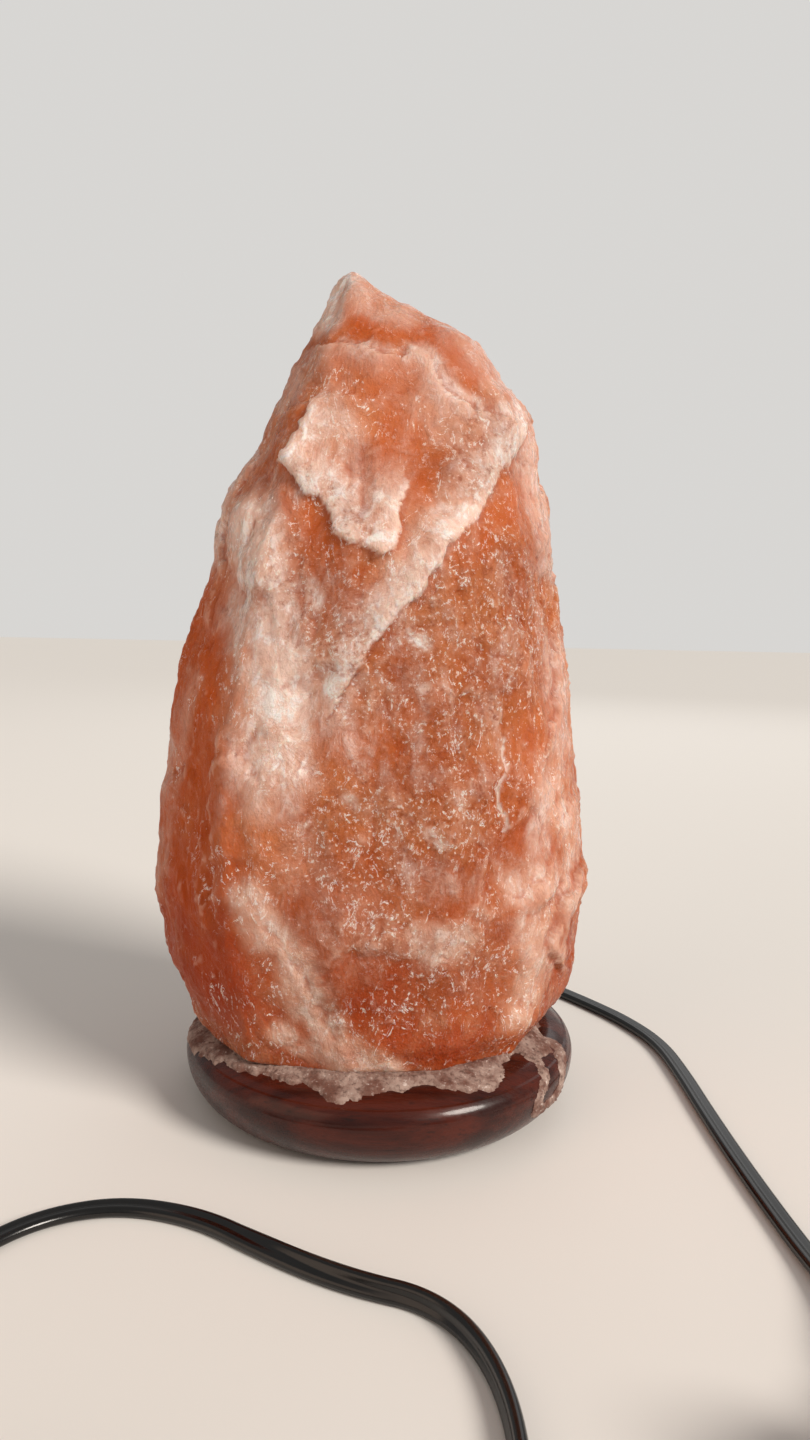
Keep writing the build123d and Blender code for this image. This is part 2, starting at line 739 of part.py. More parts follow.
def at_case_screws():
    return GridLocations(2 * case_screw_offset, 0, 2, 1)


with BuildPart() as dimmer_lower_case:
    extrude(case_sketch(0, 0), amount=lower_case_height)
    chamfer(dimmer_lower_case.edges().group_by(Axis.Z)[0], length=case_round / 2)
    extrude(case_sketch(case_wall, case_wall), amount=lower_case_height, mode=Mode.SUBTRACT)
    with BuildSketch(dimmer_plane.offset(case_wall)):
        with at_case_screws():
            Circle(case_boss_radius)
    extrude(amount=lower_case_height - case_wall)
    with BuildSketch(dimmer_plane.offset(case_wall)):
        with GridLocations(rail_spacing, 0, 2, 1):
            Rectangle(rail_thickness, board_width - rail_thickness)
    extrude(amount=board_height - case_wall)
    with BuildSketch(dimmer_plane):
        with at_case_screws():
            Circle(case_screw_radius + close_gap)
    extrude(amount=lower_case_height, mode=Mode.SUBTRACT)
    with BuildSketch(dimmer_plane):
        with at_case_screws():
            Circle(screw_head_radius + close_gap)
    extrude(amount=screw_head_recess, mode=Mode.SUBTRACT)
    add(boot_notches(), mode=Mode.SUBTRACT)
save("dimmer_lower_case", dimmer_lower_case)

with BuildPart() as dimmer_upper_case:
    extrude(case_sketch(lower_case_height, 0), amount=upper_case_height)
    fillet(dimmer_upper_case.edges().group_by(Axis.Z)[-1], radius=case_round)
    extrude(case_sketch(lower_case_height, case_wall), amount=upper_case_height - case_wall,
            mode=Mode.SUBTRACT)
    with BuildSketch(dimmer_plane.offset(lower_case_height)):
        with at_case_screws():
            Circle(case_boss_radius)
    extrude(amount=upper_case_height - case_wall)
    with BuildSketch(dimmer_plane.offset(lower_case_height)):
        with at_case_screws():
            Circle(case_screw_radius + close_gap)
    extrude(amount=case_screw_hole, mode=Mode.SUBTRACT)
    with BuildSketch(dimmer_plane.offset(case_top)):
        with Locations((control_offset, 0)):
            Circle(shaft_radius + close_gap)
    extrude(amount=-case_wall, mode=Mode.SUBTRACT)
    add(boot_notches(), mode=Mode.SUBTRACT)
save("dimmer_upper_case", dimmer_upper_case)

with BuildPart() as dimmer_screws:
    with BuildSketch(dimmer_plane.offset(screw_head_recess - screw_head_height)):
        with at_case_screws():
            Circle(screw_head_radius)
    extrude(amount=screw_head_height)
    with BuildSketch(dimmer_plane.offset(screw_head_recess)):
        with at_case_screws():
            Circle(case_screw_radius)
    extrude(amount=case_screw_length)
save("dimmer_screws", dimmer_screws)

with BuildPart() as dimmer_board:
    with BuildSketch(dimmer_plane.offset(board_height)):
        Rectangle(board_length, board_width)
    extrude(amount=board_thickness)
save("dimmer_board", dimmer_board)

with BuildPart() as dimmer_potentiometer:
    with BuildSketch(dimmer_plane.offset(board_top)):
        with Locations((control_offset, 0)):
            Circle(potentiometer_radius)
    extrude(amount=potentiometer_height)
    with BuildSketch(dimmer_plane.offset(board_top + shaft_seat)):
        with Locations((control_offset, 0)):
            Circle(shaft_radius + close_gap)
    extrude(amount=potentiometer_height, mode=Mode.SUBTRACT)
save("dimmer_potentiometer", dimmer_potentiometer)

with BuildPart() as dimmer_triac:
    tab_length, tab_width, tab_thickness = triac_tab
    body_length, body_width, body_height = triac_case
    with BuildSketch(dimmer_plane.offset(board_top)):
        with Locations(triac_place):
            Rectangle(tab_length, tab_width)
            with Locations((triac_hole_offset, 0)):
                Circle(triac_hole_radius, mode=Mode.SUBTRACT)
    extrude(amount=tab_thickness)
    with BuildSketch(dimmer_plane.offset(board_top + tab_thickness)):
        with Locations((triac_place[0] - (tab_length - body_length) / 2, triac_place[1])):
            Rectangle(body_length, body_width)
    extrude(amount=body_height)
save("dimmer_triac", dimmer_triac)

with BuildPart() as dimmer_capacitor:
    with BuildSketch(dimmer_plane.offset(board_top)):
        with Locations(capacitor_place):
            RectangleRounded(*capacitor_size[:2], capacitor_round)
    extrude(amount=capacitor_size[2])
save("dimmer_capacitor", dimmer_capacitor)

with BuildPart() as wheel_shaft:
    shaft_foot = board_top + shaft_seat + close_gap
    with BuildSketch(dimmer_plane.offset(shaft_foot)):
        with Locations((control_offset, 0)):
            Circle(shaft_radius)
    extrude(amount=case_top + wheel_gap + shaft_grip - shaft_foot)
save("wheel_shaft", wheel_shaft)

with BuildPart() as dimmer_wheel:
    with BuildSketch(dimmer_plane.offset(case_top + wheel_gap)):
        with Locations((control_offset, 0)):
            Circle(wheel_radius)
            with PolarLocations(wheel_radius + rib_radius / 3, wheel_ribs):
                Circle(rib_radius, mode=Mode.SUBTRACT)
    extrude(amount=wheel_height)
    with BuildSketch(dimmer_plane.offset(case_top + wheel_gap)):
        with Locations((control_offset, 0)):
            Circle(shaft_radius)
    extrude(amount=shaft_grip, mode=Mode.SUBTRACT)
    with BuildSketch(dimmer_plane.offset(case_top + wheel_gap + wheel_height)):
        with Locations((control_offset, 0)):
            Circle(wheel_dish_radius)
    extrude(amount=-wheel_dish_depth, mode=Mode.SUBTRACT)
    with BuildSketch(dimmer_plane.offset(case_top + wheel_gap + wheel_height - wheel_dish_depth)):
        with Locations((control_offset + pointer_offset, 0)):
            Circle(pointer_radius)
    extrude(amount=wheel_dish_depth)
save("dimmer_wheel", dimmer_wheel)


def cord_boot(name, side):
    """A tapered boot from inside the case's end wall out to the cord."""
    way = dimmer_way * side
    inner = dimmer_centre + way * (dimmer_length / 2 - case_wall) + Vector(0, 0, cord_entry)
    outer = dimmer_centre + way * (dimmer_length / 2) + Vector(0, 0, cord_entry)
    end = dimmer_centre + way * boot_reach + Vector(0, 0, cord_entry)
    across = Vector(0, 0, 1).cross(way)
    sections = (inner, boot_root, boot_bevel), (outer, boot_root, boot_bevel), (end, boot_tip, boot_tip_bevel)
    with BuildPart() as boot:
        for place, size, bevel in sections:
            with BuildSketch(Plane(origin=place, x_dir=across, z_dir=way)) as section:
                Rectangle(*size)
                chamfer(section.vertices(), length=bevel)
        loft(ruled=True)
    save(name, boot)


cord_boot("dimmer_inlet_boot", -1)
cord_boot("dimmer_outlet_boot", 1)

# ---- plug ----
plug_across = Vector(0, 0, 1).cross(plug_way)


def plug_plane(along):
    return Plane(origin=plug_rear + plug_way * along, x_dir=plug_across, z_dir=plug_way)


with BuildPart() as plug_body:
    for along, width, thickness in plug_outline:
        with BuildSketch(plug_plane(along * plug_length)) as section:
            Rectangle(width, thickness)
            chamfer(section.vertices(), length=thickness * plug_bevel_share)
    loft(ruled=True)
save("plug_body", plug_body)


def plug_blade(name, side, width):
    """A flat blade standing on edge, with a hole and a bevelled tip."""
    place = plug_plane(plug_length)
    with BuildPart() as blade:
        with BuildSketch(place):
            with Locations((side * blade_spacing / 2, 0)):
                Rectangle(blade_thickness, width)
        extrude(amount=blade_length)
        tip = blade.faces().sort_by(Axis(plug_rear, plug_way))[-1]
        chamfer(tip.edges(), length=blade_bevel)
        hole_centre = plug_rear + plug_way * (plug_length + blade_length - blade_hole_inset)
        with BuildSketch(Plane(origin=hole_centre, x_dir=plug_way, z_dir=plug_across)):
            Circle(blade_hole_radius)
        extrude(amount=plug_width, both=True, mode=Mode.SUBTRACT)
    save(name, blade)


plug_blade("plug_narrow_blade", -1, narrow_blade_width)
plug_blade("plug_wide_blade", 1, wide_blade_width)
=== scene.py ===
import math
import bmesh
import bpy
import numpy as np
from mathutils import Matrix, Vector, noise


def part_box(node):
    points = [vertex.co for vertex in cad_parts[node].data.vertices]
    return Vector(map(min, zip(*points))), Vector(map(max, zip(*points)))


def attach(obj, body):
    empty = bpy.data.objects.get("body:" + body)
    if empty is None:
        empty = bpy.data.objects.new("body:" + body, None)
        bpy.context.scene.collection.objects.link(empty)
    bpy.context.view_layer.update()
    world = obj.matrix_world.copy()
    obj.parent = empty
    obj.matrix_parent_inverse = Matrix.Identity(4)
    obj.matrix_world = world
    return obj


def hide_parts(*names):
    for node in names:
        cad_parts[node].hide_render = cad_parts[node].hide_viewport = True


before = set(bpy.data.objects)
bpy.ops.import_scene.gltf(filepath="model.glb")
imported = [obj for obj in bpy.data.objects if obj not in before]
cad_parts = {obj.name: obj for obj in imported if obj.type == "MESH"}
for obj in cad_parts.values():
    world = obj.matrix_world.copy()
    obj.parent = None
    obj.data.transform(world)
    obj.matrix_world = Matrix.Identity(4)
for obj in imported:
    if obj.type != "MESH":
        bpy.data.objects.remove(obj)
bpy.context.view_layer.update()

# Salt crystal lamp: a hewn lump of rock salt on a turned and lacquered base, dried salt where
# damp has crept out from under it, and a flat twin cord with a dimmer and a plug.
# Metres in the scene; the dictionaries hold millimetres and degrees. The front is -Y.
mm = 0.001


# small helpers
def toLinear(hexColour):
    parts = [int(hexColour[i:i + 2], 16) / 255 for i in (1, 3, 5)]
    return [c / 12.92 if c <= 0.04045 else ((c + 0.055) / 1.055) ** 2.4 for c in parts] + [1.0]


def addNode(tree, kind, settings, inputs, output=0):
    # each input, in order or by name, takes a value or the output of another node
    node = tree.nodes.new("ShaderNode" + kind)
    for name, value in settings.items():
        setattr(node, name, value)
    for socket, value in inputs.items() if isinstance(inputs, dict) else enumerate(inputs):
        if isinstance(value, bpy.types.NodeSocket):
            tree.links.new(value, node.inputs[socket])
        else:
            node.inputs[socket].default_value = value
    return node.outputs[output]


def newMaterial(name, shaderValues):
    material = bpy.data.materials.new(name)
    material.use_nodes = True
    tree = material.node_tree
    shader = tree.nodes["Principled BSDF"]
    for socket, value in shaderValues.items():
        shader.inputs[socket].default_value = value
    return material, tree, shader, addNode(tree, "TexCoord", {}, {}, "Object")


def layTints(tree, shader, base, layers):
    # tints over a base colour, each with what its share follows, how that is eased (from, to,
    # least, most) or None, its colour, and how it blends if it doesn't cover
    colour = base
    for follows, easing, tint, *blend in layers:
        share = follows
        if easing:
            share = addNode(tree, "MapRange", {"interpolation_type": "SMOOTHSTEP"},
                            (follows, *easing))
        colour = addNode(tree, "Mix", {"data_type": "RGBA", "blend_type": (blend or ["MIX"])[0]},
                         {0: share, 6: colour, 7: toLinear(tint)}, 2)
    tree.links.new(colour, shader.inputs["Base Color"])


def perMm(size):
    return 1000 / size          # a texture scale, for a pattern whose features are size mm wide


def paint(name, material):
    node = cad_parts[name]
    node.data.materials.clear()
    node.data.materials.append(material)


def newPiece(name, mesh, body, material):
    piece = bpy.data.objects.new(name, mesh)
    bpy.context.scene.collection.objects.link(piece)
    mesh.materials.clear()
    mesh.materials.append(material)
    mesh.polygons.foreach_set("use_smooth", [True] * len(mesh.polygons))
    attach(piece, body)
    return piece


def smoothStep(low, high, value):
    t = np.clip((value - low) / (high - low), 0, 1)
    return t * t * (3 - 2 * t)


# the camera stands a little above the lamp's middle, close, with a wide lens
cameraView = {"place": (6.9, -360.5, 174.8), "pitchDown": 6.52, "roll": 1.13,
              "focalShare": 1016 / 1440, "sensor": 36, "nearest": 10}
cameraData = bpy.data.cameras.new("camera")
cameraData.sensor_fit = "VERTICAL"
cameraData.sensor_height = cameraView["sensor"]
cameraData.lens = cameraView["sensor"] * cameraView["focalShare"]
cameraData.clip_start = cameraView["nearest"] * mm
camera = bpy.data.objects.new("camera", cameraData)
bpy.context.scene.collection.objects.link(camera)
tilt = Matrix.Rotation(math.radians(90 - cameraView["pitchDown"]), 4, "X")
roll = Matrix.Rotation(math.radians(cameraView["roll"]), 4, "Z")
camera.matrix_world = Matrix.Translation(Vector(cameraView["place"]) * mm) @ tilt @ roll
bpy.context.scene.camera = camera
print("camera ready")

# The flat twin cord runs from the base to the dimmer, and on to its coil and the plug.
cord = {
    "width": 6.4, "thickness": 3.2, "web": 0.45, "lobePoints": 9, "ringStep": 1.6,
    "lying": 1.8, "standing": 3.4,              # centre heights on its side and on its edge
    "offFloor": 0.1,                            # no ring reaches lower
    "colour": "#040303", "dust": "#0e0c0b", "roughness": 0.22,
    "dustSize": 3.5, "drawnSize": 0.9,
}
dimmer = {"centre": (108, -203, 0), "heading": 258, "halfLength": 45, "cordHeight": 8, "lead": 13}
plug = {"rear": (-71.6, -279, 6.5), "heading": 330, "lead": 14}
coil = {"centre": (-78.8, -222), "outer": 35.2, "step": 3.7, "draw": 2.0, "drawnOver": (0.3, 0.75),
        "layer": 7.1, "turns": 4, "climb": 0.28, "pointsPerTurn": 20}


def headingWay(degrees):
    return Vector((math.cos(math.radians(degrees)), math.sin(math.radians(degrees)), 0))


lying, standing = cord["lying"], cord["standing"]
dimmerWay, plugWay = headingWay(dimmer["heading"]), headingWay(plug["heading"])
dimmerMiddle = Vector(dimmer["centre"]) + Vector((0, 0, dimmer["cordHeight"]))
dimmerInlet = dimmerMiddle - dimmerWay * dimmer["halfLength"]
dimmerOutlet = dimmerMiddle + dimmerWay * dimmer["halfLength"]
plugRear = Vector(plug["rear"])

runRoute = {
    "points": [
        (0, 70, 5), (0, 91, 5), (13.5, 110, 2.8),
        (35, 117, lying), (57, 110.5, lying), (75, 88.5, lying), (91, 68, lying), (103, 50, lying),
        (111.5, 29, lying), (113.5, 3, lying), (114, -28, lying), (115.5, -64, lying),
        (118.5, -104, lying), (120.5, -127, 4.6),
        tuple(dimmerInlet - dimmerWay * dimmer["lead"]), tuple(dimmerInlet),
    ],
    "turned": [(0, 0), (400, 0)],
}
tailRoute = {
    "points": [
        tuple(dimmerOutlet), tuple(dimmerOutlet + dimmerWay * dimmer["lead"]),
        (92.8, -274.4, lying), (89.1, -292, lying), (70.7, -310.4, lying), (44.7, -310.4, lying),
        (26.3, -292, lying), (25.5, -245, lying), (34, -183, lying),
        (32, -150, lying), (19, -127, lying), (-5, -119.5, lying), (-27, -106.5, lying),
        (-47, -92.5, lying), (-70, -86.5, lying), (-90, -92, lying), (-104, -105.5, lying),
        (-112, -124, lying), (-114, -149, lying), (-114, -165, lying), (-114, -193, standing),
    ],
    # how far it has turned towards its edge, at a distance along it
    "turned": [(0, 0), (190, 0), (232, -72), (285, -78), (318, -50), (350, -12), (400, 0),
               (484, 0), (514, 90), (1500, 90)],
}
leadRoute = [(-113.1, -240, 10.5), (-101, -262, 8.5), tuple(plugRear - plugWay * plug["lead"]),
             tuple(plugRear)]


def coilPoints():
    # in along the lower layer, up through half a turn, and out along the upper one
    points = []
    middle = coil["turns"] / 2
    for i in range(coil["turns"] * coil["pointsPerTurn"] + 1):
        turn = i / coil["pointsPerTurn"]
        fromMiddle = abs(turn - middle)
        radius = coil["outer"] - coil["step"] * (middle - fromMiddle)
        radius -= coil["draw"] * (1 - smoothStep(*coil["drawnOver"], fromMiddle))
        climbed = smoothStep(middle - coil["climb"], middle + coil["climb"], turn)
        angle = math.radians(180) + turn * math.tau
        x = coil["centre"][0] + radius * math.cos(angle)
        y = coil["centre"][1] + radius * math.sin(angle)
        points.append((x, y, standing + coil["layer"] * float(climbed)))
    return points


def followRoute(points):
    # the smooth line of a NURBS spline with these points, evenly resampled, in metres
    curve = bpy.data.curves.new("route", "CURVE")
    curve.dimensions = "3D"
    curve.resolution_u = 24
    spline = curve.splines.new("NURBS")
    spline.points.add(len(points) - 1)
    for place, point in zip(spline.points, points):
        place.co = (*(Vector(point) * mm), 1)
    spline.order_u = 3
    spline.use_endpoint_u = True
    holder = bpy.data.objects.new("route", curve)
    bpy.context.scene.collection.objects.link(holder)
    graph = bpy.context.evaluated_depsgraph_get()
    line = bpy.data.meshes.new_from_object(holder.evaluated_get(graph))
    dense = np.array([v.co for v in line.vertices])
    bpy.data.objects.remove(holder)
    bpy.data.meshes.remove(line)
    gone = np.concatenate([[0], np.cumsum(np.linalg.norm(np.diff(dense, axis=0), axis=1))])
    count = int(gone[-1] / (cord["ringStep"] * mm))
    wanted = np.linspace(0, gone[-1], count + 1)
    return np.stack([np.interp(wanted, gone, dense[:, k]) for k in range(3)], 1), wanted


def cordOutline():
    # two round lobes side by side, joined by a web, so a groove runs down the middle
    lobe = cord["thickness"] / 2
    centre = cord["width"] / 2 - lobe
    reach = math.pi - math.acos((centre - cord["web"]) / lobe)
    outline = []
    for side, start in ((1, 0), (-1, math.pi)):
        for angle in np.linspace(-reach, reach, cord["lobePoints"]) + start:
            outline.append((side * centre + lobe * math.cos(angle), lobe * math.sin(angle)))
    return outline


def cordMesh(name, path, gone, turned):
    outline = cordOutline()
    angles = np.interp(gone / mm, *zip(*turned))
    build = bmesh.new()
    rings = []
    for i, centre in enumerate(path):
        way = Vector(path[min(i + 1, len(path) - 1)] - path[max(i - 1, 0)]).normalized()
        side = way.cross(Vector((0, 0, 1))).normalized()
        side = Matrix.Rotation(math.radians(angles[i]), 3, way) @ side
        up = side.cross(way)
        ring = [Vector(centre) + (side * x + up * y) * mm for x, y in outline]
        lowest = min(corner.z for corner in ring)
        raised = Vector((0, 0, max(0, cord["offFloor"] * mm - lowest)))
        path[i] += raised
        rings.append([build.verts.new(corner + raised) for corner in ring])
    for first, second in zip(rings, rings[1:]):
        for k in range(len(outline)):
            build.faces.new((first[k - 1], first[k], second[k], second[k - 1]))
    build.faces.new(rings[0])
    build.faces.new(reversed(rings[-1]))
    bmesh.ops.recalc_face_normals(build, faces=build.faces)
    mesh = bpy.data.meshes.new(name)
    build.to_mesh(mesh)
    build.free()
    return mesh


def pvcMaterial():
    # plasticised PVC, extruded over two conductors: black, smooth, a soft gloss, slightly dusty
    material, tree, shader, coords = newMaterial(
        "blackPvcCord", {"Roughness": cord["roughness"], "IOR": 1.53})
    dust, drawn = (
        addNode(tree, "TexNoise", {}, {"Vector": coords, "Scale": perMm(size), "Detail": detail})
        for size, detail in ((cord["dustSize"], 4), (cord["drawnSize"], 3)))
    layTints(tree, shader, toLinear(cord["colour"]), [(dust, (0.45, 0.8, 0, 0.5), cord["dust"])])
    bump = addNode(tree, "Bump", {}, {"Strength": 0.08, "Distance": 0.2 * mm, "Height": drawn})
    tree.links.new(bump, shader.inputs["Normal"])
    return material


blackPvc = pvcMaterial()
runPath, runGone = followRoute(runRoute["points"])
tailPath, tailGone = followRoute(tailRoute["points"] + coilPoints() + leadRoute)
cordRun = newPiece("mainsCordRun", cordMesh("mainsCordRun", runPath, runGone, runRoute["turned"]),
                   "cord_set", blackPvc)
cordTail = newPiece("mainsCordCoil",
                    cordMesh("mainsCordCoil", tailPath, tailGone, tailRoute["turned"]),
                    "cord_set", blackPvc)
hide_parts("cord_run")
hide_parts("cord_tail", "cord_coil", "cord_lead")
paint("cord_inner", blackPvc)
print(f"cords ready: {runGone[-1]:.3f} m and {tailGone[-1]:.3f} m")

